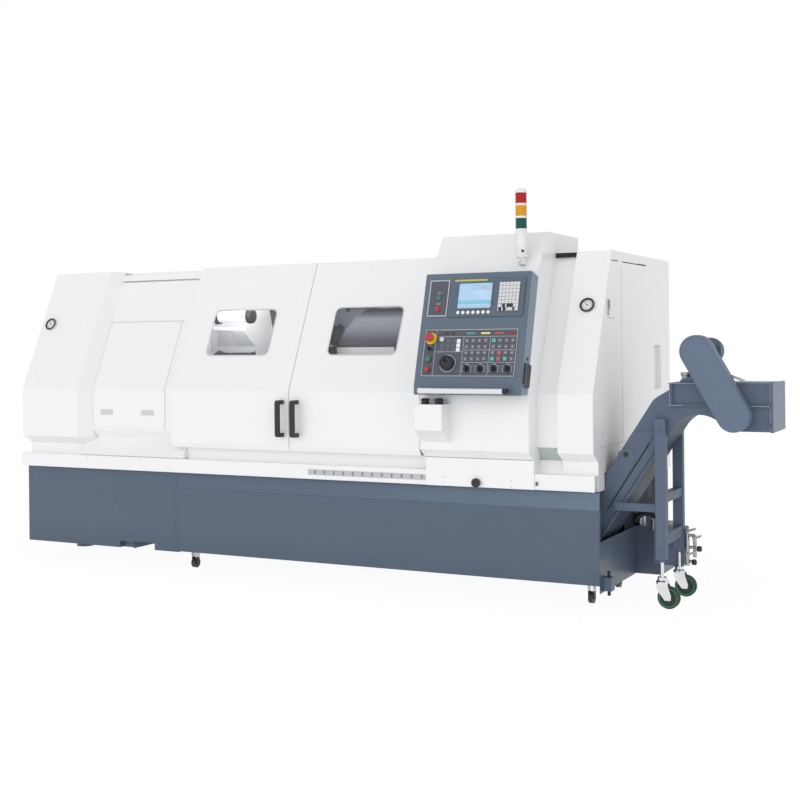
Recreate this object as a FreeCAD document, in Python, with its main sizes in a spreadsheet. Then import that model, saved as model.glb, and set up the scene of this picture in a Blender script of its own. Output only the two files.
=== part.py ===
import FreeCAD, Part
import math
import os
import Sketcher
from FreeCAD import Vector

# Slant-bed turning lathe with sliding front doors, a side control station,
# a coolant tank on casters and a chip conveyor at the right-hand end.
#
# Lathe frame used by the sketches: X = 0 at the enclosure's right end and
# negative to the left, Y = 0 at the front of the base and positive to the
# rear, Z = 0 on the floor.  Every sub-part is then moved by the same shift,
# so that the origin is the middle of the whole machine's footprint.

os.makedirs("parts", exist_ok=True)
doc = FreeCAD.newDocument("TurningLathe")
sheet = doc.addObject("Spreadsheet::Sheet", "Sizes")
subparts = []
cuts = []
SMALL = 1.0


class Size:
    """A length, angle or ratio together with the sheet formula behind it."""

    def __init__(self, number, formula):
        self.number = float(number)
        self.formula = formula

    def __add__(self, other):
        return Size(self.number + number(other), f"({self.formula} + {formula(other)})")

    __radd__ = __add__

    def __sub__(self, other):
        return Size(self.number - number(other), f"({self.formula} - {formula(other)})")

    def __rsub__(self, other):
        return Size(number(other) - self.number, f"({formula(other)} - {self.formula})")

    def __mul__(self, other):
        return Size(self.number * number(other), f"({self.formula} * {formula(other)})")

    __rmul__ = __mul__

    def __truediv__(self, other):
        return Size(self.number / number(other), f"({self.formula} / {formula(other)})")

    def __rtruediv__(self, other):
        return Size(number(other) / self.number, f"({formula(other)} / {self.formula})")

    def __neg__(self):
        return Size(-self.number, f"(0 - {self.formula})")


def number(value):
    return value.number if isinstance(value, Size) else float(value)


def formula(value):
    return value.formula if isinstance(value, Size) else f"({float(value)!r})"


def cosine(angle):
    return Size(math.cos(math.radians(number(angle))), f"cos({formula(angle)} * 1deg)")


def sine(angle):
    return Size(math.sin(math.radians(number(angle))), f"sin({formula(angle)} * 1deg)")


def size(alias, value, note):
    """Write one driving dimension into the sheet and return it."""
    row = size.row
    size.row += 1
    sheet.set(f"A{row}", note)
    sheet.set(f"B{row}", repr(float(value)))
    sheet.setAlias(f"B{row}", alias)
    return Size(value, f"Sizes.{alias}")


size.row = 1


def bind(feature, prop, value):
    """Tie a property to the sheet, or set it where the value is a plain number."""
    if isinstance(value, Size):
        feature.setExpression(prop, value.formula)
    elif prop.startswith("."):
        feature.setExpression(prop, repr(float(value)))
    else:
        setattr(feature, prop, value)


# ---------------------------------------------------------------- dimensions

# enclosure
body_length = size("body_length", 3600, "enclosure, left end to right end")
body_depth = size("body_depth", 1344, "base front to rear wall")
roof_z = size("roof_z", 1724, "top of doors and end covers")
break_z = size("break_z", 1018, "height where the front starts to lean back")
slant_run = size("slant_run", 317, "how far the front leans back up to the roof")
door_proud = size("door_proud", 45, "door face in front of the base")
base_top_z = size("base_top_z", 548, "top of the base and of the tank front")
skirt_height = size("skirt_height", 80, "white band over the base")
skirt_proud = size("skirt_proud", 29, "band in front of the base")
skirt_overhang = size("skirt_overhang", 25, "band past the left end")
recess_y = size("recess_y", 29, "set-back face over the band, behind the base front")
undercut_z = size("undercut_z", 690, "inner edge of the covers' undercut")
column_foot_z = size("column_foot_z", 735, "front edge of the covers' undercut")
cover_wall = size("cover_wall", 4, "sheet of the covers")
seat_gap = size("seat_gap", 0.3, "clearance between pieces that seat or slide")
left_column_width = size("left_column_width", 430, "front face of the left cover")
right_column_width = size("right_column_width", 179, "front face of the right cover")
filler_width = size("filler_width", 125, "set-back strip beside the right cover")
filler_set_back = size("filler_set_back", 55, "set-back strip behind the door face")
cover_set_back = size("cover_set_back", 60, "headstock cover behind the door face")
end_bevel = size("end_bevel", 65, "slanted return beside the left cover")
roof_step = size("roof_step", 9, "roof under the door tops")
roof_front_y = size("roof_front_y", 360, "front edge of the roof sheet")
slot_left = size("slot_left", 1592, "first slot in the band, from the right end")
slot_pitch = size("slot_pitch", 55.6, "slots in the band, centre to centre")
slot_width = size("slot_width", 18, "slot in the band")
slot_height = size("slot_height", 24, "slot in the band")
slot_rise = size("slot_rise", 28, "slots over the top of the base")
access_inset = size("access_inset", 74, "access panel beside the left cover")
access_width = size("access_width", 522, "access panel")
access_low_z = size("access_low_z", 792, "lower edge of the access panel")
access_high_z = size("access_high_z", 1412, "upper edge of the access panel")
access_lift = size("access_lift", 3, "access panel proud of the headstock cover")
pull_inset = size("pull_inset", 52, "first finger pull on the access panel")
pull_pitch = size("pull_pitch", 298, "from the first finger pull to the second")
pull_rise = size("pull_rise", 73, "finger pulls over the panel's lower edge")
pull_width = size("pull_width", 94, "finger pull")
pull_height = size("pull_height", 36, "finger pull")
pocket_rear = size("pocket_rear", 184, "recess in the right side, from the rear wall")
pocket_width = size("pocket_width", 140, "recess in the right side")
pocket_height = size("pocket_height", 242, "recess in the right side")
pocket_low_z = size("pocket_low_z", 1004, "lower edge of the side's recess")
pocket_depth = size("pocket_depth", 30, "depth of the side's recess")
air_slot_drop = size("air_slot_drop", 52, "air slots under the roof")
air_slot_height = size("air_slot_height", 8, "air slot")
air_slot_front = size("air_slot_front", 265, "short air slot behind the base front")
air_slot_short = size("air_slot_short", 112, "short air slot")
air_slot_gap = size("air_slot_gap", 68, "from the short air slot to the long one")
air_slot_long = size("air_slot_long", 435, "long air slot")
exit_clearance = size("exit_clearance", 12, "cover round the conveyor's way out")
gauge_radius = size("gauge_radius", 38, "air gauge")
gauge_depth = size("gauge_depth", 16, "air gauge, front to back")
left_gauge_inset = size("left_gauge_inset", 79, "left gauge from the enclosure's left end")
left_gauge_rise = size("left_gauge_rise", 423, "left gauge up the leaning front")
right_gauge_inset = size("right_gauge_inset", 84, "right gauge from the enclosure's right end")
right_gauge_rise = size("right_gauge_rise", 468, "right gauge up the leaning front")

# doors
door_meeting = size("door_meeting", 1700, "door joint, from the right end")
left_door_width = size("left_door_width", 787, "left door")
right_door_width = size("right_door_width", 780, "right door, partly behind the cabinet")
door_joint = size("door_joint", 4, "gap between the closed doors")
door_depth = size("door_depth", 38, "door, front to back")
door_skin = size("door_skin", 3, "door sheet")
door_flange = size("door_flange", 28, "door's folded edge")
door_foot_z = size("door_foot_z", 726, "top of the door's bottom bevel")
door_base_z = size("door_base_z", 698, "underside of the doors")
window_low_z = size("window_low_z", 1212, "lower edge of the windows")
window_high_z = size("window_high_z", 1466, "upper edge of the windows")
window_width = size("window_width", 412, "window opening")
window_radius = size("window_radius", 32, "window corner")
left_window_inset = size("left_window_inset", 183, "left window to the left door's left edge")
right_window_inset = size("right_window_inset", 188, "right window to the right door's left edge")
pane_thickness = size("pane_thickness", 6, "window pane")
pane_lap = size("pane_lap", 22, "pane behind the window's edge")
handle_low_z = size("handle_low_z", 774, "handle, lower end")
handle_length = size("handle_length", 198, "handle")
handle_stand_off = size("handle_stand_off", 60, "handle in front of the door")
handle_bar = size("handle_bar", 21, "handle bar, front to back")
handle_width = size("handle_width", 22, "handle bar, across")
left_handle_inset = size("left_handle_inset", 28, "left handle to the door joint")
right_handle_inset = size("right_handle_inset", 39, "right handle to the door joint")
rail_height = size("rail_height", 36, "upper door rail")
rail_low_z = size("rail_low_z", 1664, "underside of the upper door rail")

# base, tank and feet
base_clearance = size("base_clearance", 96, "underside of the base over the floor")
base_block_length = size("base_block_length", 1125, "full-depth left part of the base")
base_rear_inset = size("base_rear_inset", 60, "base rear face inside the rear wall")
notch_width = size("notch_width", 151, "notch in the base's lower edge")
notch_height = size("notch_height", 40, "notch in the base's lower edge")
notch_right = size("notch_right", 170, "notch, from the right end of the base's front block")
jack_width = size("jack_width", 100, "jacking recess beside the notch")
jack_depth = size("jack_depth", 30, "jacking recess beside the notch")
bed_shelf = size("bed_shelf", 110, "flat back of the bed behind the slant")
block_lap = size("block_lap", 20, "base's rear part behind the tank")
tank_clearance = size("tank_clearance", 104, "underside of the tank over the floor")
tank_proud = size("tank_proud", 15, "tank front in front of the base")
tank_shoulder_z = size("tank_shoulder_z", 462, "where the tank front leans back")
tank_depth = size("tank_depth", 600, "tank tub, front to back")
tank_rim_z = size("tank_rim_z", 311, "top of the tank tub")
tank_apron_z = size("tank_apron_z", 66, "lower edge of the tank's end apron")
pump_box_reach = size("pump_box_reach", 135, "pump box past the tank's end")
pump_box_depth = size("pump_box_depth", 260, "pump box, front to back")
tank_wall = size("tank_wall", 5, "tank sheet")
tank_reach = size("tank_reach", 15, "tank past the enclosure's right end")
foot_radius = size("foot_radius", 55, "levelling foot")
foot_height = size("foot_height", 22, "levelling foot")
front_foot_y = size("front_foot_y", 440, "front levelling foot behind the base front")
foot_edge = size("foot_edge", 110, "rear levelling feet inside the base's edge")
left_foot_x = size("left_foot_x", 450, "left levelling feet from the left end")
middle_foot_x = size("middle_foot_x", 1850, "middle levelling feet from the left end")
right_foot_x = size("right_foot_x", 250, "right levelling feet from the right end")
stud_radius = size("stud_radius", 16, "levelling stud")
tank_wheel_radius = size("tank_wheel_radius", 29, "tank caster")
tank_wheel_width = size("tank_wheel_width", 22, "tank caster")
tank_caster_y = size("tank_caster_y", 85, "front tank casters behind the base front")
tank_caster_left = size("tank_caster_left", 56, "left tank casters from the tank's left side")
tank_caster_right = size("tank_caster_right", 57, "right tank casters from the enclosure's end")

# bed and slides
bed_angle = size("bed_angle", 45, "slant of the bed")
bed_foot_y = size("bed_foot_y", 681, "bed plane's point below the axis, from the rear wall")
bed_foot_z = size("bed_foot_z", 897, "bed plane's point below the spindle axis")
centre_height = size("centre_height", 330, "spindle axis over the bed plane")
bed_low = size("bed_low", 390, "bed below the spindle, along the slant")
bed_high = size("bed_high", 660, "bed above the spindle, along the slant")
bed_left = size("bed_left", 3000, "bed's left end, from the right end")
bed_right = size("bed_right", 320, "bed's right end, from the right end")
way_height = size("way_height", 30, "guideway over the bed plane")
way_width = size("way_width", 60, "guideway")
spindle_radius = size("spindle_radius", 60, "spindle in the headstock")
chuck_radius = size("chuck_radius", 150, "chuck body")
chuck_length = size("chuck_length", 120, "chuck body")
jaw_length = size("jaw_length", 50, "chuck jaw")
jaw_width = size("jaw_width", 44, "chuck jaw")
bulkhead_x = size("bulkhead_x", 2430, "wall beside the headstock, from the right end")
headstock_left = size("headstock_left", 2990, "headstock's left end, from the right end")
headstock_low = size("headstock_low", 70, "headstock's foot below the spindle, along the slant")
headstock_high = size("headstock_high", 470, "headstock's foot above the spindle, along the slant")
headstock_rise = size("headstock_rise", 250, "headstock over the spindle axis")
headstock_drop = size("headstock_drop", 150, "headstock's front under the spindle axis")
saddle_left = size("saddle_left", 2030, "saddle's left end, from the right end")
saddle_length = size("saddle_length", 440, "saddle")
saddle_low = size("saddle_low", 195, "saddle's lower edge along the slant")
saddle_span = size("saddle_span", 430, "saddle along the slant")
saddle_height = size("saddle_height", 70, "saddle")
slide_height = size("slide_height", 70, "cross slide")
turret_offset = size("turret_offset", 400, "turret axis above the spindle, along the slant")
turret_radius = size("turret_radius", 170, "turret disc")
turret_thickness = size("turret_thickness", 90, "turret disc")
turret_housing_length = size("turret_housing_length", 260, "turret housing")
turret_housing_half = size("turret_housing_half", 150, "turret housing, half width")
tailstock_left = size("tailstock_left", 1690, "tailstock's left end, from the right end")
tailstock_length = size("tailstock_length", 250, "tailstock")
tailstock_low = size("tailstock_low", 230, "tailstock below the spindle, along the slant")
tailstock_high = size("tailstock_high", 180, "tailstock above the spindle, along the slant")
tailstock_half = size("tailstock_half", 130, "tailstock head, half width")
quill_radius = size("quill_radius", 50, "quill")
quill_length = size("quill_length", 320, "quill")
lamp_radius = size("lamp_radius", 35, "work lamp tube")
lamp_length = size("lamp_length", 262, "work lamp tube")
lamp_y = size("lamp_y", 320, "work lamp behind the base front")
lamp_z = size("lamp_z", 1437, "work lamp over the floor")

# control cabinet and station
cabinet_left = size("cabinet_left", 888, "cabinet's left side, from the right end")
cabinet_proud = size("cabinet_proud", 100, "cabinet front in front of the base")
cabinet_foot_z = size("cabinet_foot_z", 738, "front edge of the cabinet's undercut")
cabinet_lean_z = size("cabinet_lean_z", 1100, "where the cabinet front starts to lean")
cabinet_skirt = size("cabinet_skirt", 38, "cabinet's lower panel in front of the base")
cabinet_slope = size("cabinet_slope", 539, "leaning cabinet face, along its slope")
cabinet_top_z = size("cabinet_top_z", 1824, "top of the raised hood")
cabinet_top_y = size("cabinet_top_y", 194, "front edge of the hood's top")
cabinet_rear_y = size("cabinet_rear_y", 650, "rear of the raised hood")
duct_width = size("duct_width", 150, "cable duct under the station")
duct_reach = size("duct_reach", 98, "cable duct in front of the cabinet")
duct_top_z = size("duct_top_z", 968, "top of the cable duct")
duct_low_z = size("duct_low_z", 840, "front lower edge of the cable duct")
duct_toe = size("duct_toe", 68, "cable duct's undercut")
skirt_knob_x = size("skirt_knob_x", 606, "knob on the lower panel, from the right end")
skirt_knob_z = size("skirt_knob_z", 575, "knob on the lower panel over the floor")
skirt_knob_radius = size("skirt_knob_radius", 22, "knob on the lower panel")
panel_tilt = size("panel_tilt", 16.3, "control station's lean")
panel_width = size("panel_width", 570, "control station")
panel_height = size("panel_height", 552, "control station's leaning face")
panel_depth = size("panel_depth", 92, "control station, front to back")
panel_drop = size("panel_drop", 40, "station's front edge under the cabinet's lean, along the slope")
panel_apron = size("panel_apron", 71, "station's upright lower front")
panel_right = size("panel_right", 301, "station's right side, from the right end")
plate_lift = size("plate_lift", 4, "plates proud of the station")
display_left = size("display_left", 146, "display unit on the station")
display_low = size("display_low", 322, "display unit on the station")
display_width = size("display_width", 400, "display unit")
display_height = size("display_height", 200, "display unit")
display_lift = size("display_lift", 8, "display unit proud of the station")
screen_left = size("screen_left", 49, "screen on the display unit")
screen_low = size("screen_low", 43, "screen on the display unit")
screen_width = size("screen_width", 180, "screen")
screen_height = size("screen_height", 132, "screen")
keypad_left = size("keypad_left", 268, "keypad on the display unit")
keypad_low = size("keypad_low", 25, "keypad on the display unit")
keypad_width = size("keypad_width", 108, "keypad")
keypad_height = size("keypad_height", 148, "keypad")
operator_left = size("operator_left", 38, "operator plate on the station")
operator_low = size("operator_low", 20, "operator plate on the station")
operator_width = size("operator_width", 494, "operator plate")
operator_height = size("operator_height", 238, "operator plate")
power_x = size("power_x", 89, "power buttons on the station")
power_on_z = size("power_on_z", 425, "upper power button")
power_off_z = size("power_off_z", 365, "lower power button")
start_x = size("start_x", 70, "cycle buttons on the station")
start_z = size("start_z", 105, "upper cycle button")
hold_z = size("hold_z", 54, "lower cycle button")
stop_x = size("stop_x", 74, "emergency stop on the station")
stop_z = size("stop_z", 212, "emergency stop on the station")
lock_x = size("lock_x", 72, "key switch on the station")
lock_z = size("lock_z", 158, "key switch on the station")
wheel_x = size("wheel_x", 176, "pulse handwheel on the station")
wheel_z = size("wheel_z", 85, "pulse handwheel on the station")
rotary_x = size("rotary_x", 281, "first rotary switch on the station")
rotary_pitch = size("rotary_pitch", 71, "rotary switches, centre to centre")
rotary_z = size("rotary_z", 57, "rotary switches on the station")
left_keys_x = size("left_keys_x", 270, "first key of the left blocks")
right_keys_x = size("right_keys_x", 412, "first key of the right blocks")
upper_keys_z = size("upper_keys_z", 168, "lower row of the upper blocks")
lower_keys_z = size("lower_keys_z", 107, "lower row of the lower blocks")
axis_keys_x = size("axis_keys_x", 225, "upright row of three keys")
axis_keys_z = size("axis_keys_z", 154, "lowest key of the upright row")
axis_keys_pitch = size("axis_keys_pitch", 22, "keys of the upright row, centre to centre")
lever_x = size("lever_x", 131, "jog lever on the station")
lever_z = size("lever_z", 208, "jog lever on the station")
key_side = size("key_side", 19, "square key")
key_pitch = size("key_pitch", 33, "square keys, centre to centre")
button_radius = size("button_radius", 13, "push button")
button_travel = size("button_travel", 6, "push button stroke")
knob_radius = size("knob_radius", 15, "rotary switch")
knob_height = size("knob_height", 24, "rotary switch")
bore_clearance = size("bore_clearance", 0.5, "round moving pieces in their bezels")
wheel_radius = size("wheel_radius", 36, "pulse handwheel")
stop_radius = size("stop_radius", 24, "emergency stop head")
stop_neck = size("stop_neck", 16, "emergency stop head over its bezel")
bar_radius = size("bar_radius", 14, "grab bar")
bar_length = size("bar_length", 470, "grab bar")
bar_stand_off = size("bar_stand_off", 42, "grab bar axis in front of the station")
tower_x = size("tower_x", 395, "signal tower from the right end")
tower_radius = size("tower_radius", 29, "signal tower")
tower_low_z = size("tower_low_z", 1690, "underside of the signal tower's tube")
tower_tube = size("tower_tube", 143, "signal tower's plain tube")
lens_height = size("lens_height", 52, "signal lens")
ring_height = size("ring_height", 11, "ring between the lenses")

# chip conveyor
conveyor_near_y = size("conveyor_near_y", 135, "conveyor's near side")
conveyor_width = size("conveyor_width", 280, "conveyor trough")
conveyor_angle = size("conveyor_angle", 57, "rise of the incline")
conveyor_thick = size("conveyor_thick", 152, "trough, square to the incline")
conveyor_wall = size("conveyor_wall", 4, "conveyor sheet")
conveyor_floor_z = size("conveyor_floor_z", 130, "underside of the flat trough")
conveyor_tail = size("conveyor_tail", 225, "conveyor's tail from the tank's left side")
skid_width = size("skid_width", 40, "skid under the trough")
first_skid = size("first_skid", 200, "first skid from the conveyor's tail")
last_skid = size("last_skid", 250, "last skid from the enclosure's right end")
incline_x = size("incline_x", -15, "point on the incline's upper edge")
incline_z = size("incline_z", 594, "point on the incline's upper edge")
head_top_z = size("head_top_z", 1071, "top of the discharge head")
head_low_z = size("head_low_z", 846, "underside of the discharge head")
head_end = size("head_end", 801, "end of the discharge head")
end_cover_lap = size("end_cover_lap", 3, "end cover past the discharge box")
head_left = size("head_left", 592, "left side of the discharge box")
arch_peak_z = size("arch_peak_z", 1020, "where the incline and the head's return would meet")
arch_radius = size("arch_radius", 149, "arch under the conveyor's head")
head_shoulder = size("head_shoulder", 320, "left edge of the head's upper part")
flange_rise = size("flange_rise", 9, "flanges proud of the conveyor's side")
band_rise = size("band_rise", 4, "raised band on the conveyor's side")
band_depth = size("band_depth", 94, "raised band, square to the incline")
strut_x = size("strut_x", 52, "left end of the strut to the legs")
strut_z = size("strut_z", 454, "underside of the strut to the legs")
strut_height = size("strut_height", 38, "strut to the legs")
guard_radius = size("guard_radius", 76, "chain guard's rounding")
guard_depth = size("guard_depth", 68, "chain guard")
motor_x = size("motor_x", 465, "motor axis past the enclosure")
motor_z = size("motor_z", 1220, "motor axis over the floor")
shaft_x = size("shaft_x", 634, "drive shaft axis past the enclosure")
shaft_z = size("shaft_z", 922, "drive shaft axis over the floor")
motor_radius = size("motor_radius", 62, "gear motor")
motor_length = size("motor_length", 230, "gear motor")
leg_x = size("leg_x", 257, "leg's left side past the enclosure")
leg_width = size("leg_width", 50, "leg across")
leg_depth = size("leg_depth", 38, "leg front to back")
leg_low_z = size("leg_low_z", 232, "leg's lower end")
leg_top_z = size("leg_top_z", 900, "leg's upper end")
swivel_x = size("swivel_x", 282, "caster stem past the enclosure")
caster_trail = size("caster_trail", 32, "wheel axis behind the stem")
caster_wheel_radius = size("caster_wheel_radius", 53, "conveyor caster wheel")
caster_wheel_width = size("caster_wheel_width", 30, "conveyor caster wheel")

# ------------------------------------------------------------ derived places

left_x = -body_length
front_y = -door_proud
slant_top_y = front_y + slant_run
slant_ratio = slant_run / (roof_z - break_z)
door_seam_x = -door_meeting
left_door_x = door_seam_x - left_door_width
filler_right_x = -right_column_width
filler_left_x = filler_right_x - filler_width
cabinet_right_x = filler_left_x
recess_left_x = left_x + left_column_width
cover_face_y = front_y + cover_set_back
base_rear_y = body_depth - base_rear_inset
base_block_x = left_x + base_block_length
tank_left_x = base_block_x + seat_gap
band_top_z = base_top_z + skirt_height
bed_line_y = body_depth - bed_foot_y
trough_left_x = tank_left_x + conveyor_tail
slope_of_incline = sine(conveyor_angle) / cosine(conveyor_angle)
leg_near_y = conveyor_near_y - seat_gap - leg_depth
conveyor_far_y = conveyor_near_y + conveyor_width
handle_front_y = front_y - handle_stand_off
tilt_cos = cosine(panel_tilt)
tilt_sin = sine(panel_tilt)
slope_cos = cosine(bed_angle)
slope_sin = sine(bed_angle)
hood_low_y = -cabinet_proud + cabinet_slope * tilt_sin
hood_low_z = cabinet_lean_z + cabinet_slope * tilt_cos
axis_y = bed_line_y - centre_height * slope_sin
axis_z = bed_foot_z + centre_height * slope_cos

# The control station's front lower edge, measured from the line where the
# cabinet face starts to lean.
panel_front_y = (
    -cabinet_proud - panel_drop * tilt_sin - (panel_depth + seat_gap) * tilt_cos
)
panel_front_z = (
    cabinet_lean_z - panel_drop * tilt_cos + (panel_depth + seat_gap) * tilt_sin
)
bar_y = panel_front_y - bar_stand_off

# The origin is the middle of the whole machine's footprint on the floor.
shift_x = (body_length + skirt_overhang - head_end - end_cover_lap) / 2
shift_y = (bar_y * -1 + bar_radius - body_depth) / 2


def slant(height, behind=0.0):
    """Depth of the leaning front face at a height, moved back by a distance."""
    return front_y + behind + (height - break_z) * slant_ratio


def on_bed(along, above):
    """Point in the cross-section from distances along and above the bed plane."""
    return (
        bed_line_y + along * slope_cos - above * slope_sin,
        bed_foot_z + along * slope_sin + above * slope_cos,
    )


# ----------------------------------------------------------- modelling steps

PLANE_OF = {"X": "YZ_Plane", "Y": "XZ_Plane", "Z": "XY_Plane"}
PLANE_SIGN = {"X": 1, "Y": -1, "Z": 1}


def new_body(label, several=False):
    """A sub-part in the lathe frame; its placement moves it to the origin."""
    body = doc.addObject("PartDesign::Body", label)
    body.Label = label
    body.AllowCompound = several
    bind(body, ".Placement.Base.x", shift_x)
    bind(body, ".Placement.Base.y", shift_y)
    subparts.append(body)
    return body


def new_panel_body(label, several=False):
    """A sub-part on the control station: X across, Y inwards, Z up the face."""
    body = new_body(label, several)
    body.Placement = FreeCAD.Placement(Vector(), FreeCAD.Rotation(Vector(1, 0, 0), -1))
    bind(body, ".Placement.Base.x", shift_x - panel_right - panel_width)
    bind(body, ".Placement.Base.y", shift_y + panel_front_y)
    bind(body, ".Placement.Base.z", panel_front_z)
    bind(body, ".Placement.Rotation.Angle", -panel_tilt)
    return body


def new_sketch(body, normal, across=0.0, up=0.0, lift=0.0):
    """A sketch square to an axis, its own origin moved across, up and along."""
    sketch = body.newObject("Sketcher::SketchObject", body.Label + "_sketch")
    for plane in body.Origin.OriginFeatures:
        if plane.Role == PLANE_OF[normal]:
            sketch.AttachmentSupport = [(plane, "")]
    sketch.MapMode = "FlatFace"
    bind(sketch, ".AttachmentOffset.Base.x", across)
    bind(sketch, ".AttachmentOffset.Base.y", up)
    bind(sketch, ".AttachmentOffset.Base.z", lift * PLANE_SIGN[normal])
    return sketch


def fix(sketch, kind, geometry, position, value):
    """Tie one coordinate of a sketch point to the sheet."""
    index = sketch.addConstraint(
        Sketcher.Constraint(kind, -1, 1, geometry, position, number(value))
    )
    if isinstance(value, Size):
        sketch.setExpression(f"Constraints[{index}]", value.formula)


def flat(point):
    return Vector(number(point[0]), number(point[1]), 0)


def add_outline(sketch, points):
    """A closed outline of (across, up) or (across, up, corner radius) points."""
    count = len(points)
    corners = [flat(point) for point in points]
    starts, ends, arcs = [], [], []
    for i, point in enumerate(points):
        radius = number(point[2]) if len(point) > 2 else 0.0
        if radius <= 0:
            starts.append(corners[i])
            ends.append(corners[i])
            arcs.append(None)
            continue
        back = (corners[i - 1] - corners[i]).normalize()
        ahead = (corners[(i + 1) % count] - corners[i]).normalize()
        half = back.getAngle(ahead) / 2
        reach = radius / math.tan(half)
        starts.append(corners[i] + back * reach)
        ends.append(corners[i] + ahead * reach)
        centre = corners[i] + (back + ahead).normalize() * (radius / math.sin(half))
        arcs.append((centre, radius, (back.cross(ahead)).z < 0))
    lines = []
    for i in range(count):
        segment = Part.LineSegment(ends[i], starts[(i + 1) % count])
        lines.append(sketch.addGeometry(segment, False))
    for i, point in enumerate(points):
        before, after = lines[i - 1], lines[i]
        if arcs[i] is None:
            sketch.addConstraint(Sketcher.Constraint("Coincident", before, 2, after, 1))
            fix(sketch, "DistanceX", after, 1, point[0])
            fix(sketch, "DistanceY", after, 1, point[1])
            continue
        centre, radius, left_turn = arcs[i]
        first, last = (starts[i], ends[i]) if left_turn else (ends[i], starts[i])
        angle_a = math.atan2(first.y - centre.y, first.x - centre.x)
        angle_b = math.atan2(last.y - centre.y, last.x - centre.x)
        circle = Part.Circle(centre, Vector(0, 0, 1), radius)
        arc = sketch.addGeometry(Part.ArcOfCircle(circle, angle_a, angle_b), False)
        entry, leave = (1, 2) if left_turn else (2, 1)
        sketch.addConstraint(Sketcher.Constraint("Tangent", before, 2, arc, entry))
        sketch.addConstraint(Sketcher.Constraint("Tangent", arc, leave, after, 1))
        index = sketch.addConstraint(Sketcher.Constraint("Radius", arc, radius))
        if isinstance(point[2], Size):
            sketch.setExpression(f"Constraints[{index}]", point[2].formula)
        corner = sketch.addGeometry(Part.Point(corners[i]), True)
        sketch.addConstraint(Sketcher.Constraint("PointOnObject", corner, 1, before))
        sketch.addConstraint(Sketcher.Constraint("PointOnObject", corner, 1, after))
        fix(sketch, "DistanceX", corner, 1, point[0])
        fix(sketch, "DistanceY", corner, 1, point[1])


def add_circle(sketch, across, up, radius):
    circle = Part.Circle(flat((across, up)), Vector(0, 0, 1), number(radius))
    index = sketch.addGeometry(circle, False)
    rule = sketch.addConstraint(Sketcher.Constraint("Radius", index, number(radius)))
    if isinstance(radius, Size):
        sketch.setExpression(f"Constraints[{rule}]", radius.formula)
    fix(sketch, "DistanceX", index, 3, across)
    fix(sketch, "DistanceY", index, 3, up)


def add_feature(body, kind, sketch, length):
    feature = body.newObject(kind, body.Label + "_feature")
    feature.Profile = sketch
    bind(feature, "Length", length)
    body.Tip = feature
    return feature


def draw(sketch, outlines, circles):
    for points in outlines:
        add_outline(sketch, points)
    for across, up, radius in circles:
        add_circle(sketch, across, up, radius)


def prism(body, normal, start, end, outlines=(), circles=()):
    """Pad outlines from one coordinate to a higher one along an axis."""
    lift = end if normal == "Y" else start
    sketch = new_sketch(body, normal, lift=lift)
    draw(sketch, outlines, circles)
    return add_feature(body, "PartDesign::Pad", sketch, end - start)


def cut(body, normal, start, end, outlines=(), circles=()):
    """Pocket outlines from one coordinate to a higher one along an axis."""
    base = body.Tip
    lift = start if normal == "Y" else end
    sketch = new_sketch(body, normal, lift=lift)
    draw(sketch, outlines, circles)
    feature = add_feature(body, "PartDesign::Pocket", sketch, end - start)
    cuts.append((feature, base))
    return feature


def turned(body, axis, first, second, profile, start=0.0):
    """Revolve (along, radius) points about an axis through two coordinates.

    The coordinates are the other two of X, Y and Z, in that order.
    """
    if axis == "X":
        sketch = new_sketch(body, "Y", up=second, lift=first)
        reference = "H_Axis"
    elif axis == "Y":
        sketch = new_sketch(body, "X", up=second, lift=first)
        reference = "H_Axis"
    else:
        sketch = new_sketch(body, "Y", across=first, lift=second)
        reference = "V_Axis"
    if axis == "Z":
        points = [(radius, start + along) for along, radius in profile]
    else:
        points = [(start + along, radius) for along, radius in profile]
    add_outline(sketch, points)
    feature = body.newObject("PartDesign::Revolution", body.Label + "_turning")
    feature.Profile = sketch
    feature.ReferenceAxis = (sketch, [reference])
    feature.Angle = 360.0
    body.Tip = feature
    return feature


def round_edges(body, radius, chosen):
    """Fillet the edges that a test picks out of the body's present shape."""
    doc.recompute()
    base = body.Tip
    names = [f"Edge{i + 1}" for i, edge in enumerate(base.Shape.Edges) if chosen(edge)]
    if not names:
        raise RuntimeError(f"{body.Label}: no edge to round")
    fillet = body.newObject("PartDesign::Fillet", body.Label + "_rounding")
    fillet.Base = (base, names)
    bind(fillet, "Radius", radius)
    body.Tip = fillet
    return fillet


def along_axis(edge, axis):
    """True for a straight edge that runs along X, Y or Z."""
    if not isinstance(edge.Curve, Part.Line):
        return False
    return abs(abs(edge.Curve.Direction.dot(axis)) - 1) < 1e-6


def rectangle(left, low, width, height, *radius):
    """Outline points of a rectangle, with rounded corners if a radius is given."""
    return [
        (left, low, *radius),
        (left + width, low, *radius),
        (left + width, low + height, *radius),
        (left, low + height, *radius),
    ]


def centred(across, up, width, height):
    return rectangle(across - width / 2, up - height / 2, width, height)


# ----------------------------------------------------------- base and its feet

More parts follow.
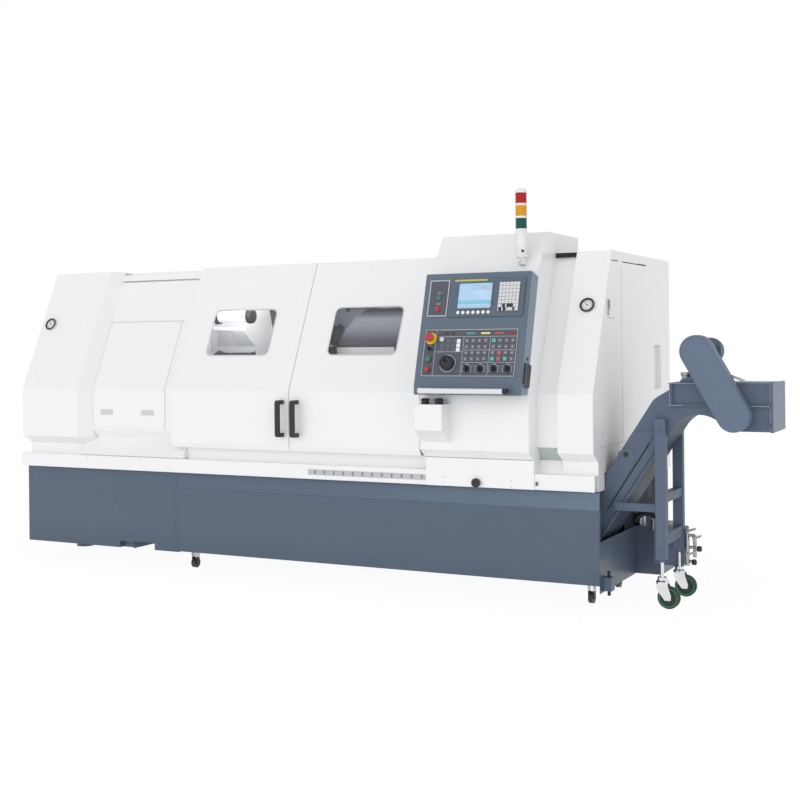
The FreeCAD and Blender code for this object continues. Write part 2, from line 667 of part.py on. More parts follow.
def make_base_casting():
    body = new_body("base_casting")
    height = base_top_z - base_clearance
    prism(body, "X", left_x, base_block_x,
          [rectangle(0.0, base_clearance, base_rear_y, height)])
    behind_tank = tank_depth + block_lap
    prism(body, "X", base_block_x - 1, 0.0,
          [rectangle(behind_tank, base_clearance, base_rear_y - behind_tank, height)])
    low_y, low_z = on_bed(-bed_low, 0.0)
    high_y, high_z = on_bed(bed_high, 0.0)
    prism(body, "X", -bed_left, -bed_right,
          [[(low_y, base_top_z - 2), (low_y, low_z), (high_y, high_z),
            (high_y + bed_shelf, high_z), (high_y + bed_shelf, base_top_z - 2)]])
    for along in (-tailstock_low, tailstock_high - way_width, saddle_low + 5,
                  saddle_low + saddle_span - way_width):
        prism(body, "X", -bulkhead_x + 20, -bed_right,
              [[on_bed(along, -1.0), on_bed(along + way_width, -1.0),
                on_bed(along + way_width, way_height), on_bed(along, way_height)]])
    notch_left = base_block_x - notch_right - notch_width
    cut(body, "Y", 0.0, base_rear_y,
        [rectangle(notch_left, base_clearance, notch_width, notch_height)])
    cut(body, "Y", 0.0, jack_depth,
        [rectangle(notch_left - jack_width - 2, base_clearance, jack_width, notch_height - 3)])


def make_levelling_feet():
    body = new_body("levelling_feet", several=True)
    rear = base_rear_y - foot_edge
    middle = tank_depth + foot_edge
    stands = [(left_x + foot_radius, front_foot_y), (left_x + left_foot_x, middle),
              (left_x + left_foot_x, rear), (left_x + middle_foot_x, rear),
              (-right_foot_x, rear), (left_x + middle_foot_x, middle),
              (-right_foot_x, middle)]
    prism(body, "Z", 0.0, foot_height,
          circles=[(x, y, foot_radius) for x, y in stands])
    prism(body, "Z", foot_height, base_clearance,
          circles=[(x, y, stud_radius) for x, y in stands])


def make_coolant_tank():
    body = new_body("coolant_tank")
    left = tank_left_x
    right = tank_reach
    length = right - left
    prism(body, "Z", tank_clearance, tank_rim_z,
          [rectangle(left, 0.0, length, tank_depth)])
    cut(body, "Z", tank_clearance + tank_wall, tank_rim_z,
        [rectangle(left + tank_wall, tank_wall, length - tank_wall * 2,
                   tank_depth - tank_wall * 2)])
    prism(body, "X", left, right,
          [[(-tank_proud, tank_clearance), (tank_wall, tank_clearance),
            (tank_wall, base_top_z), (-2.0, base_top_z),
            (-tank_proud, tank_shoulder_z)]])
    # apron of the end wall, and the pump box beside the base
    prism(body, "X", right - tank_wall, right,
          [rectangle(0.0, tank_apron_z, tank_depth, tank_rim_z - tank_apron_z)])
    prism(body, "X", right - tank_wall, right + pump_box_reach,
          [rectangle(tank_depth - 10, tank_apron_z, pump_box_depth,
                     tank_rim_z - tank_apron_z)])
    # jacking lug and its screw at the right-hand end
    prism(body, "X", right - 1, right + 46, [rectangle(24.0, 76.0, 52.0, 64.0)])
    prism(body, "Z", 52.0, 168.0, circles=[(right + 26, 50.0, 8.0)])


def make_tank_casters():
    body = new_body("tank_casters", several=True)
    rear = tank_depth - tank_caster_y
    half = tank_wheel_width / 2
    plate = 4.0
    for middle in (-tank_caster_right, tank_left_x + tank_caster_left):
        for y in (tank_caster_y, rear):
            prism(body, "X", middle - half, middle + half,
                  circles=[(y, tank_wheel_radius, tank_wheel_radius)])
            for side in (-1, 1):
                near = middle + side * (half + 2.5) - 2
                prism(body, "X", near, near + 4,
                      [[(y - 9, tank_wheel_radius - 8), (y + 9, tank_wheel_radius - 8),
                        (y + 24, tank_clearance - plate), (y - 24, tank_clearance - plate)]])
            prism(body, "X", middle - half - 1, middle + half + 1,
                  circles=[(y, tank_wheel_radius, 5.0)])
            prism(body, "Z", tank_clearance - plate, tank_clearance,
                  [centred(middle, y, 62.0, 62.0)])


# ------------------------------------------------------------------ enclosure

def cover_section(behind, foot_behind):
    """Front line of a cover from its undercut to the roof, set back by a distance."""
    return [
        (recess_y + foot_behind, undercut_z),
        (front_y + behind, column_foot_z),
        (front_y + behind, break_z),
        (slant_top_y + behind, roof_z),
    ]


def end_section(inside):
    """Cross-section of an end cover, moved inwards by the sheet's thickness."""
    foot = base_top_z - inside
    return [
        (recess_y + inside, foot),
        (recess_y + inside, undercut_z + inside / 2),
        (front_y + inside, column_foot_z + inside / 2),
        (front_y + inside, break_z),
        (slant_top_y + inside, roof_z - inside),
        (body_depth - inside, roof_z - inside),
        (body_depth - inside, foot),
    ]


def make_lower_skirt():
    body = new_body("lower_skirt")
    low = base_top_z + 4
    high = band_top_z
    outer = -skirt_proud
    wall = cover_wall
    inner = recess_y - seat_gap
    prism(body, "X", left_x - skirt_overhang, 0.0,
          [[(outer, low), (outer + wall, low), (outer + wall, high - wall),
            (inner, high - wall), (inner, high), (outer, high)]])
    sill = door_base_z - seat_gap
    lip = front_y + door_depth - 8
    prism(body, "X", wall - bulkhead_x + seat_gap, -cabinet_left - seat_gap,
          [[(inner - wall, high - 1), (inner, high - 1), (inner, sill),
            (lip, sill), (lip, sill - wall), (inner - wall, sill - wall)]])
    slots = [rectangle(-slot_left + slot_pitch * i, base_top_z + slot_rise, slot_width,
                       slot_height) for i in range(13)]
    cut(body, "Y", outer, outer + wall, slots)


def make_left_end_cover():
    body = new_body("left_end_cover")
    right = recess_left_x
    prism(body, "X", left_x, right, [end_section(0.0)])
    cut(body, "X", left_x + cover_wall, right, [end_section(cover_wall)])
    # slanted return from the front face back to the headstock cover
    wall = cover_wall
    feature = body.newObject("PartDesign::AdditiveLoft", "left_end_cover_return")
    outlines = []
    for lift, behind in ((right - 1, 0.0), (right + end_bevel, cover_set_back - 1)):
        sketch = new_sketch(body, "X", lift=lift)
        line = [(front_y + behind, column_foot_z), (front_y + behind, break_z),
                (slant_top_y + behind, roof_z)]
        back = [(y + wall * 1.5, z) for y, z in reversed(line)]
        add_outline(sketch, line + back)
        outlines.append(sketch)
    feature.Profile = outlines[0]
    feature.Sections = outlines[1:]
    feature.Ruled = True
    body.Tip = feature


def make_right_end_cover():
    body = new_body("right_end_cover")
    wall = cover_wall
    prism(body, "X", filler_right_x, 0.0, [end_section(0.0)])
    cut(body, "X", filler_right_x, -wall,
        [end_section(wall)])
    # wall beside the column and the set-back filler strip
    deep = filler_set_back
    near = deep + 12
    prism(body, "X", filler_right_x, filler_right_x + wall,
          [[(front_y + 1, column_foot_z + 3), (front_y + 1, break_z),
            (slant_top_y + 1, roof_z - 1), (slant_top_y + near, roof_z - 1),
            (front_y + near, break_z), (front_y + near, column_foot_z + 3)]])
    top_y, top_z = slant_top_y + deep - 12, roof_z - 27
    knee_y, band_z = recess_y + 26, band_top_z
    prism(body, "X", filler_left_x + seat_gap, filler_right_x + 1,
          [[(front_y + deep, column_foot_z + 22), (front_y + deep, break_z),
            (top_y, top_z), (top_y + wall, top_z),
            (front_y + deep + wall, break_z),
            (front_y + deep + wall, column_foot_z + 20),
            (knee_y + wall, undercut_z), (recess_y + wall, band_z),
            (recess_y, band_z), (knee_y, undercut_z)]])
    # side of the strip's foot, down to the band
    prism(body, "X", filler_left_x + seat_gap, filler_left_x + seat_gap + wall,
          [[(-skirt_proud + 2, band_z + seat_gap), (recess_y + 1, band_z + seat_gap),
            (knee_y + 1, undercut_z), (recess_y + 1, undercut_z),
            (-skirt_proud + 2, undercut_z - 46)]])
    # way out for the conveyor
    clear = exit_clearance
    cut(body, "X", -wall, 0.0,
        [rectangle(conveyor_near_y - clear, base_top_z, conveyor_width + clear * 2,
                   (0.0 - incline_x) * slope_of_incline + incline_z + clear - base_top_z)])
    # air slots under the roof and the recess in the side panel
    slot_z = roof_z - air_slot_drop
    second = air_slot_front + air_slot_short + air_slot_gap
    pocket_y = body_depth - pocket_rear - pocket_width
    cut(body, "X", -wall, 0.0,
        [rectangle(air_slot_front, slot_z, air_slot_short, air_slot_height),
         rectangle(second, slot_z, air_slot_long, air_slot_height)])
    prism(body, "X", -pocket_depth - wall, -1.0,
          [rectangle(pocket_y - wall, pocket_low_z - wall, pocket_width + wall * 2,
                     pocket_height + wall * 2)])
    cut(body, "X", -pocket_depth, 0.0,
        [rectangle(pocket_y, pocket_low_z, pocket_width, pocket_height)])


def make_rear_cover():
    body = new_body("rear_cover")
    wall = cover_wall
    top = roof_z - roof_step
    left = recess_left_x + seat_gap
    right = filler_right_x - seat_gap
    prism(body, "X", left, right,
          [[(roof_front_y, rail_low_z), (roof_front_y, top), (body_depth, top),
            (body_depth, base_top_z), (body_depth - wall, base_top_z),
            (body_depth - wall, top - wall), (roof_front_y + wall, top - wall),
            (roof_front_y + wall, rail_low_z)]])
    # shallow panel joints across the back
    joints = [rectangle(left + (right - left) * share, base_top_z + 40,
                        6.0, roof_z - base_top_z - 120)
              for share in (0.2, 0.4, 0.6, 0.8)]
    cut(body, "Y", body_depth - 2, body_depth, joints)


def make_door_rail():
    body = new_body("door_rail")
    top = rail_low_z + rail_height
    gap = door_depth + seat_gap
    prism(body, "X", recess_left_x + end_bevel + 12, filler_left_x - 8,
          [[(slant(rail_low_z, gap), rail_low_z), (slant(top, gap), top),
            (roof_front_y - seat_gap, top), (roof_front_y - seat_gap, rail_low_z)]])


def make_headstock_cover():
    body = new_body("headstock_cover")
    wall = cover_wall
    face = cover_face_y
    top = rail_low_z - 8
    left = recess_left_x + end_bevel + seat_gap
    right = -bulkhead_x + wall
    knee = column_foot_z + 45
    sill_y, sill_z = front_y + 22, band_top_z + 5
    prism(body, "X", left, right,
          [[(face, knee), (face, break_z), (slant(top, cover_set_back), top),
            (slant(top, cover_set_back) + wall, top), (face + wall, break_z),
            (face + wall, knee + 2), (face + 46, column_foot_z),
            (sill_y + wall, sill_z), (sill_y, sill_z), (face + 40, column_foot_z)]])
    # the foot goes on under the left cover's slanted return
    prism(body, "X", recess_left_x + seat_gap, left + 1,
          [[(face + 40, column_foot_z), (face + 46, column_foot_z),
            (sill_y + wall, sill_z), (sill_y, sill_z)]])
    # wall between the headstock and the work area
    low_y, low_z = on_bed(-bed_low + 14, seat_gap)
    high_y, high_z = on_bed(bed_high - 25, seat_gap)
    prism(body, "X", -bulkhead_x, right,
          [[(face + 1, knee), (face + 1, break_z),
            (slant(top, cover_set_back) + 1, top - 1), (high_y, top - 1),
            (high_y, high_z), (low_y, low_z), (sill_y + 1, sill_z),
            (face + 41, column_foot_z)]])
    cut(body, "X", -bulkhead_x, right, circles=[(axis_y, axis_z, spindle_radius + 34)])


def make_access_panel():
    body = new_body("access_panel")
    face = cover_face_y
    lift = access_lift
    left = recess_left_x + access_inset
    low, high = access_low_z, access_high_z
    top_y = slant(high, cover_set_back)
    prism(body, "X", left, left + access_width,
          [[(face - lift, low), (face - lift, break_z), (top_y - lift, high),
            (top_y, high), (face, break_z), (face, low)]])
    pulls = [rectangle(left + inset, low + pull_rise, pull_width, pull_height)
             for inset in (pull_inset, pull_inset + pull_pitch)]
    cut(body, "Y", face - lift, face - 1, pulls)


def make_pendant_cabinet():
    body = new_body("pendant_cabinet")
    wall = cover_wall
    seat_z = roof_z - roof_step + seat_gap

    def section(inside):
        low = base_top_z + 4 - inside
        return [
            (-cabinet_skirt + inside, low),
            (-cabinet_skirt + inside, undercut_z + inside / 2),
            (-cabinet_proud + inside, cabinet_foot_z + inside / 2),
            (-cabinet_proud + inside, cabinet_lean_z),
            (hood_low_y + inside, hood_low_z),
            (cabinet_top_y + inside, cabinet_top_z - inside),
            (cabinet_rear_y - inside, cabinet_top_z - inside),
            (cabinet_rear_y - inside, seat_z - inside),
            (slant_top_y + 46, seat_z - inside),
            (recess_y + 10, undercut_z - 20 - inside),
            (-skirt_proud - seat_gap, undercut_z - 50 - inside),
            (-skirt_proud - seat_gap, low),
        ]

    prism(body, "X", -cabinet_left, cabinet_right_x, [section(0.0)])
    inner = [
        (-cabinet_proud + wall, cabinet_foot_z + wall),
        (-cabinet_proud + wall, cabinet_lean_z),
        (hood_low_y + wall, hood_low_z),
        (cabinet_top_y + wall, cabinet_top_z - wall),
        (cabinet_rear_y - wall, cabinet_top_z - wall),
        (cabinet_rear_y - wall, seat_z - 20),
        (slant_top_y + 90, seat_z - 20),
        (recess_y + 60, undercut_z + 4),
        (-cabinet_skirt, undercut_z + 4),
    ]
    cut(body, "X", -cabinet_left + wall, cabinet_right_x - wall, [inner])
    # way for the right door to slide in behind the front
    slack = 2.5
    cut(body, "X", -cabinet_left, cabinet_right_x - wall,
        [[(front_y - slack, door_base_z - 3), (front_y - slack, break_z),
          (slant_top_y - slack, roof_z + slack), (slant_top_y + 120, roof_z + slack),
          (slant_top_y + 120, door_base_z - 3)]])
    # cable duct under the control station
    duct_left = -panel_right - panel_width
    prism(body, "X", duct_left, duct_left + duct_width,
          [[(-cabinet_proud + 1, duct_top_z), (-cabinet_proud - duct_reach, duct_top_z),
            (-cabinet_proud - duct_reach, duct_low_z),
            (-cabinet_proud + 1, duct_low_z - duct_toe)]])


# ---------------------------------------------------------------------- doors

def door_section(inside, depth):
    """Closed cross-section of a door, from its skin back to a depth."""
    toe = 15.0
    return [
        (front_y + toe + inside, door_base_z + inside),
        (front_y + inside, door_foot_z + inside / 2),
        (front_y + inside, break_z),
        (slant(roof_z - inside, inside), roof_z - inside),
        (slant(roof_z - inside, depth), roof_z - inside),
        (front_y + depth, break_z),
        (front_y + depth, door_base_z + inside),
    ]


def make_door(label, left, right, window_left):
    body = new_body(label)
    prism(body, "X", left, right, [door_section(0.0, door_depth)])
    cut(body, "X", left + door_flange, right - door_flange,
        [door_section(door_skin, door_depth + 20)])
    height = window_high_z - window_low_z
    cut(body, "Y", front_y, slant_top_y,
        [rectangle(window_left, window_low_z, window_width, height, window_radius)])


def make_pane(label, window_left):
    body = new_body(label)
    low = window_low_z - pane_lap
    high = window_high_z + pane_lap
    front = door_skin + seat_gap
    back = front + pane_thickness
    prism(body, "X", window_left - pane_lap, window_left + window_width + pane_lap,
          [[(slant(low, front), low), (slant(high, front), high),
            (slant(high, back), high), (slant(low, back), low)]])


def make_handle(label, left):
    body = new_body(label)
    high = handle_low_z + handle_length
    inner = handle_front_y + handle_bar
    corner = 17.0
    prism(body, "X", left, left + handle_width,
          [[(front_y, handle_low_z), (front_y, handle_low_z + handle_bar),
            (inner, handle_low_z + handle_bar, 6.0), (inner, high - handle_bar, 6.0),
            (front_y, high - handle_bar), (front_y, high),
            (handle_front_y, high, corner), (handle_front_y, handle_low_z, corner)]])


# ------------------------------------------------- bed fittings and the slides

def make_headstock():
    body = new_body("headstock")
    seat_low = on_bed(-headstock_low, seat_gap)
    seat_high = on_bed(headstock_high, seat_gap)
    top = axis_z + headstock_rise
    front = slant(top, cover_set_back) + 2
    prism(body, "X", -headstock_left, -bulkhead_x - 10,
          [[seat_low, seat_high, (seat_high[0], top), (front, top, 60.0),
            (front, axis_z - headstock_drop, 40.0),
            (axis_y - spindle_radius, axis_z - headstock_drop * 2)]])
    cut(body, "X", -headstock_left, -bulkhead_x - 10,
        circles=[(axis_y, axis_z, spindle_radius + seat_gap)])
    prism(body, "X", -headstock_left + 40, -headstock_left + 46,
          circles=[(axis_y, axis_z, spindle_radius + 45)])
    cut(body, "X", -headstock_left + 40, -headstock_left + 46,
        circles=[(axis_y, axis_z, spindle_radius + seat_gap)])


def make_chuck():
    body = new_body("chuck")
    nose = cover_wall + 6
    rear = spindle_radius * 0.55
    tail = headstock_left - bulkhead_x
    face = nose + chuck_length
    turned(body, "X", axis_y, axis_z,
           [(-tail, rear), (-tail, spindle_radius), (-cover_wall, spindle_radius),
            (-cover_wall, spindle_radius + 22), (nose, spindle_radius + 22),
            (nose, chuck_radius - 8), (nose + 8, chuck_radius),
            (face - 8, chuck_radius), (face, chuck_radius - 8), (face, rear)],
           start=-bulkhead_x)


def chuck_face_x():
    return -bulkhead_x + cover_wall + 6 + chuck_length


def make_chuck_jaws():
    body = new_body("chuck_jaws", several=True)
    inner = 62.0
    outer = chuck_radius - 14
    half = jaw_width / 2
    for turn in (90.0, 210.0, 330.0):
        across = cosine(turn)
        up = sine(turn)

        def spot(radial, side):
            return (axis_y + radial * across - side * up,
                    axis_z + radial * up + side * across)

        prism(body, "X", chuck_face_x(), chuck_face_x() + jaw_length,
              [[spot(inner, half), spot(inner, -half), spot(outer, -half),
                spot(outer, half)]])


def slide_block(along, above, width, height):
    """Outline of a block on the bed from its lower corner along the slant."""
    return [on_bed(along, above), on_bed(along + width, above),
            on_bed(along + width, above + height), on_bed(along, above + height)]


def make_saddle():
    body = new_body("saddle")
    base = way_height + seat_gap
    prism(body, "X", -saddle_left, -saddle_left + saddle_length,
          [slide_block(saddle_low, base, saddle_span + 5, saddle_height)])
    cut(body, "X", -saddle_left, -saddle_left + saddle_length,
        [slide_block(saddle_low + way_width + 25, base - 1,
                     saddle_span - way_width * 2 - 45, 26.0)])


def make_turret_slide():
    body = new_body("turret_slide")
    base = way_height + saddle_height + seat_gap * 2
    left = -saddle_left + 70
    prism(body, "X", left, left + turret_housing_length,
          [slide_block(turret_offset - 185, base, 370.0, slide_height)])
    half = turret_housing_half
    low = turret_offset - half
    foot = base + slide_height - 1
    roof = centre_height + half + 20
    prism(body, "X", left, left + turret_housing_length,
          [[on_bed(low, foot), on_bed(low + half * 2, foot),
            (*on_bed(low + half * 2, roof), 40.0), (*on_bed(low, roof), 40.0)]])
    cut(body, "X", left, left + turret_housing_length / 2,
        circles=[(*on_bed(turret_offset, centre_height), spindle_radius + seat_gap)])


def make_turret_disc():
    body = new_body("turret_disc")
    right = -saddle_left + 65
    left = right - turret_thickness
    middle_y, middle_z = on_bed(turret_offset, centre_height)
    sides = 12
    corners = []
    for i in range(sides):
        turn = (i + 0.5) * 360 / sides
        across = cosine(turn)
        up = sine(turn)
        corners.append((middle_y + turret_radius * across,
                        middle_z + turret_radius * up))
    prism(body, "X", left, right, [corners])
    prism(body, "X", right - 1, right + turret_housing_length / 2 - 5,
          circles=[(middle_y, middle_z, spindle_radius)])
    holders = []
    for i in range(6):
        turn = i * 60
        across = cosine(turn)
        up = sine(turn)
        reach = turret_radius - 42
        holders.append((middle_y + reach * across, middle_z + reach * up))
    prism(body, "X", left - 26, left + 1, circles=[(y, z, 27.0) for y, z in holders])
    prism(body, "X", left - 60, left - 25, circles=[(y, z, 13.0) for y, z in holders])


def make_tailstock():
    body = new_body("tailstock")
    base = way_height + seat_gap
    left = -tailstock_left
    right = left + tailstock_length
    top = centre_height + tailstock_half + 10
    waist = centre_height - tailstock_half
    prism(body, "X", left, right,
          [[on_bed(-tailstock_low, base), on_bed(tailstock_high, base),
            on_bed(tailstock_high, base + 60), on_bed(tailstock_half, waist),
            (*on_bed(tailstock_half, top), 55.0), (*on_bed(-tailstock_half, top), 55.0),
            on_bed(-tailstock_half, waist), on_bed(-tailstock_low, base + 60)]])
    cut(body, "X", left, right, circles=[(axis_y, axis_z, quill_radius + seat_gap)])


def make_quill():
    body = new_body("quill")
    point = 82.0
    turned(body, "X", axis_y, axis_z,
           [(0.0, 0.0), (point, 26.0), (point, 34.0), (point + 30, 34.0),
            (point + 30, quill_radius), (point + quill_length, quill_radius),
            (point + quill_length, 0.0)],
           start=-tailstock_left - point - 45)


def make_work_light():
    body = new_body("work_light")
    seat = -bulkhead_x + cover_wall + seat_gap
    turned(body, "X", lamp_y, lamp_z,
           [(0.0, 0.0), (0.0, lamp_radius + 6), (20.0, lamp_radius + 6),
            (20.0, lamp_radius), (lamp_length - 18, lamp_radius),
            (lamp_length - 18, lamp_radius + 6), (lamp_length - 6, lamp_radius + 6),
            (lamp_length, lamp_radius - 4), (lamp_length, 0.0)],
           start=seat)


# --------------------------------------------------- gauges, knob and the tower

def make_air_gauges():
    """Two round gauges square to the leaning front of the end covers."""
    body = new_body("air_gauges", several=True)
    lean = math.degrees(math.atan2(number(slant_run), number(roof_z - break_z)))
    lean_angle = Size(lean, f"(atan2({slant_run.formula}; "
                            f"{(roof_z - break_z).formula}) / 1deg)")
    body.Placement = FreeCAD.Placement(Vector(), FreeCAD.Rotation(Vector(1, 0, 0), -1))
    bind(body, ".Placement.Base.x", shift_x)
    bind(body, ".Placement.Base.y", shift_y + front_y)
    bind(body, ".Placement.Base.z", break_z)
    bind(body, ".Placement.Rotation.Angle", -lean_angle)
    spots = [(left_x + left_gauge_inset, left_gauge_rise),
             (-right_gauge_inset, right_gauge_rise)]
    dial = -gauge_depth + 5
    prism(body, "Y", -gauge_depth, 0.0,
          circles=[(x, z, gauge_radius) for x, z in spots])
    cut(body, "Y", -gauge_depth, dial,
        circles=[(x, z, gauge_radius - 5) for x, z in spots])
    prism(body, "Y", dial - 2, dial + 1,
          circles=[(x, z, 4.0) for x, z in spots])


def make_skirt_knob():
    body = new_body("skirt_knob")
    rim = skirt_knob_radius
    turned(body, "Y", -skirt_knob_x, skirt_knob_z,
           [(-26.0, 0.0), (-26.0, rim - 4), (-22.0, rim), (-8.0, rim),
            (-8.0, rim / 2), (0.0, rim / 2), (0.0, 0.0)],
           start=-cabinet_skirt)


def tower_axis_y():
    """Depth of the tower's axis, just in front of the hood's leaning top."""
    return hood_low_y + 8


def hood_front_y(height):
    """Depth of the hood's leaning top at a height."""
    run = (cabinet_top_y - hood_low_y) / (cabinet_top_z - hood_low_z)
    return hood_low_y + (height - hood_low_z) * run


def make_tower_stand():
    body = new_body("tower_stand")
    module = lens_height + ring_height
    core = tower_radius - 12
    profile = [(0.0, 0.0), (0.0, tower_radius), (tower_tube, tower_radius),
               (tower_tube, core)]
    for i in (1, 2):
        top = tower_tube + module * i
        profile += [(top - ring_height, core), (top - ring_height, tower_radius),
                    (top, tower_radius), (top, core)]
    cap = tower_tube + module * 3 - ring_height
    profile += [(cap, core), (cap, tower_radius), (cap + 12, tower_radius),
                (cap + 20, tower_radius - 9), (cap + 20, 0.0)]
    turned(body, "Z", -tower_x, tower_axis_y(), profile, start=tower_low_z)
    # bracket under the tube, with its clamping screw
    prism(body, "Z", tower_low_z - 34, tower_low_z + 1,
          [centred(-tower_x, tower_axis_y(), 34.0, 34.0)])
    low, high = tower_low_z - 30, tower_low_z - 22
    prism(body, "X", -tower_x - 17, -tower_x + 17,
          [[(tower_axis_y(), low), (hood_front_y(low) - seat_gap, low),
            (hood_front_y(high) - seat_gap, high), (tower_axis_y(), high)]])
    turned(body, "Y", -tower_x - 6, tower_low_z - 16,
           [(-34.0, 0.0), (-34.0, 9.0), (-22.0, 9.0), (-22.0, 5.0), (-10.0, 5.0),
            (-10.0, 0.0)], start=tower_axis_y())


def make_lens(label, place):
    body = new_body(label)
    bottom = tower_tube + (lens_height + ring_height) * place
    core = tower_radius - 12
    turned(body, "Z", -tower_x, tower_axis_y(),
           [(bottom, core), (bottom, tower_radius - 1),
            (bottom + lens_height, tower_radius - 1), (bottom + lens_height, core)],
           start=tower_low_z)


# ---------------------------------------------------------- control station

def make_pendant_body():
    body = new_panel_body("pendant_body")
    toe_in = panel_apron * tilt_sin
    toe_down = -panel_apron * tilt_cos
    back_up = toe_down + (panel_depth - toe_in) * tilt_sin / tilt_cos
    prism(body, "X", 0.0, panel_width,
          [[(0.0, panel_height), (0.0, 0.0), (toe_in, toe_down),
            (panel_depth, back_up), (panel_depth, panel_height)]])
    round_edges(body, 9.0, lambda edge: along_axis(edge, Vector(0, 0, 1))
                and edge.BoundBox.YMin < SMALL)
    # switch plate at the upper left
    prism(body, "Y", -plate_lift, 1.0, [rectangle(33.0, 326.0, 108.0, 192.0)])
    # connector box on the right side
    prism(body, "X", panel_width - 1, panel_width + 13,
          [rectangle(20.0, -16.0, 60.0, 112.0)])
    holes = [(x, z, button_radius + bore_clearance)
             for x, z in (power_on_spot, power_off_spot, start_spot, hold_spot)]
    cut(body, "Y", -plate_lift, 14.0, circles=holes)


power_on_spot = (power_x, power_on_z)
power_off_spot = (power_x, power_off_z)
start_spot = (start_x, start_z)
hold_spot = (start_x, hold_z)
rotary_names = ("mode_switch", "feed_switch", "rapid_switch", "speed_switch")
rotary_spots = {name: rotary_x + rotary_pitch * i for i, name in enumerate(rotary_names)}


def make_display_unit():
    body = new_panel_body("display_unit")
    prism(body, "Y", -display_lift, -seat_gap,
          [rectangle(display_left, display_low, display_width, display_height, 6.0)])
    left = display_left + screen_left
    low = display_low + screen_low
    cut(body, "Y", -display_lift, -display_lift + 3,
        [rectangle(left, low, screen_width, screen_height, 3.0)])
    spots = [(left + 10 + i * 27.0, low - 22, 8.0) for i in range(7)]
    prism(body, "Y", -display_lift - 3, -display_lift + 1, circles=spots)


def make_keypad():
    body = new_panel_body("keypad")
    left = display_left + keypad_left
    low = display_low + keypad_low
    back = -display_lift - seat_gap
    front = back - 5
    prism(body, "Y", front, back, [rectangle(left, low, keypad_width, keypad_height)])
    groove = 3.0
    columns, rows = 6, 8
    wide = keypad_width / columns
    tall = keypad_height / rows
    cut(body, "Y", front, front + 2,
        [rectangle(left + wide * i - groove / 2, low - 1, groove,
                   keypad_height + 2) for i in range(1, columns)])
    cut(body, "Y", front, front + 2,
        [rectangle(left - 1, low + tall * i - groove / 2, keypad_width + 2,
                   groove) for i in range(1, rows)])


def make_operator_panel():
    body = new_panel_body("operator_panel")
    prism(body, "Y", -plate_lift, -seat_gap,
          [rectangle(operator_left, operator_low, operator_width, operator_height)])
    bezel = [(*start_spot, button_radius + 5), (*hold_spot, button_radius + 5),
             (lock_x, lock_z, 16.0), (stop_x, stop_z, stop_radius + 6)]
    bezel += [(x, rotary_z, knob_radius + 6) for x in rotary_spots.values()]
    prism(body, "Y", -plate_lift - 4, -plate_lift + 1, circles=bezel)
    holes = [(*start_spot, button_radius + bore_clearance),
             (*hold_spot, button_radius + bore_clearance),
             (lock_x, lock_z, 9.5), (stop_x, stop_z, 11.5), (wheel_x, wheel_z, 8.5)]
    holes += [(x, rotary_z, 6.5) for x in rotary_spots.values()]
    cut(body, "Y", -plate_lift - 4, -seat_gap, circles=holes)


def make_panel_keys():
    body = new_panel_body("panel_keys", several=True)
    back = -plate_lift - seat_gap
    front = back - 4
    for left in (left_keys_x, right_keys_x):
        for low in (upper_keys_z, lower_keys_z):
            keys = [centred(left + key_pitch * i, low + key_pitch * j * 0.94,
                            key_side, key_side) for i in range(4) for j in range(2)]
            prism(body, "Y", front, back, keys)
    prism(body, "Y", front, back,
          [centred(axis_keys_x, axis_keys_z + axis_keys_pitch * i, key_side, key_side)
           for i in range(3)])
    turned(body, "Y", lever_x, lever_z,
           [(-16.0, 0.0), (-16.0, 4.0), (-2.0, 6.5), (-2.0, 11.0), (0.0, 11.0),
            (0.0, 0.0)], start=back)


def make_button(label, spot, lift):
    """A push button whose shank runs in the bore of its bezel."""
    body = new_panel_body(label)
    crown = -lift - button_travel - 3
    turned(body, "Y", spot[0], spot[1],
           [(0.0, 0.0), (0.0, button_radius - 5),
            (2.5, button_radius), (-crown - seat_gap * 2, button_radius),
            (-crown - seat_gap * 2, 0.0)], start=crown)


def make_emergency_stop():
    body = new_panel_body("emergency_stop")
    head = -plate_lift - 4 - stop_neck
    shank = stop_neck + 3
    turned(body, "Y", stop_x, stop_z,
           [(-18.0, 0.0), (-18.0, stop_radius - 8), (-13.0, stop_radius),
            (-4.0, stop_radius - 2), (0.0, stop_radius - 7), (0.0, 11.0),
            (shank, 11.0), (shank, 0.0)], start=head)


def make_key_switch():
    body = new_panel_body("key_switch")
    face = -plate_lift - 4
    turned(body, "Y", lock_x, lock_z,
           [(-3.0, 0.0), (-3.0, 8.0), (-2.0, 9.0), (7.0, 9.0), (7.0, 0.0)],
           start=face)
    prism(body, "Y", face - 26, face - 2,
          [centred(lock_x, lock_z, 3.0, 15.0)])


def make_rotary_switch(label, across):
    body = new_panel_body(label)
    face = -plate_lift - 4 - seat_gap
    turned(body, "Y", across, rotary_z,
           [(-knob_height / 2, 0.0), (-knob_height / 2, knob_radius - 2),
            (0.0, knob_radius), (0.0, 6.0), (6.5, 6.0), (6.5, 0.0)], start=face)
    grip = centred(across, rotary_z, 9.0, knob_radius * 2 - 2)
    prism(body, "Y", face - knob_height, face - knob_height / 2 + 1, [grip])


def make_handwheel():
    body = new_panel_body("pulse_handwheel")
    face = -plate_lift - seat_gap
    turned(body, "Y", wheel_x, wheel_z,
           [(-20.0, 0.0), (-20.0, wheel_radius - 9), (-24.0, wheel_radius - 5),
            (-22.0, wheel_radius), (-4.0, wheel_radius), (0.0, wheel_radius - 3),
            (0.0, 8.0), (3.0, 8.0), (3.0, 0.0)], start=face)
    turned(body, "Y", wheel_x - 12, wheel_z + 12,
           [(-42.0, 0.0), (-42.0, 5.0), (-38.0, 7.0), (-24.0, 5.0), (-19.0, 5.0),
            (-19.0, 0.0)], start=face)


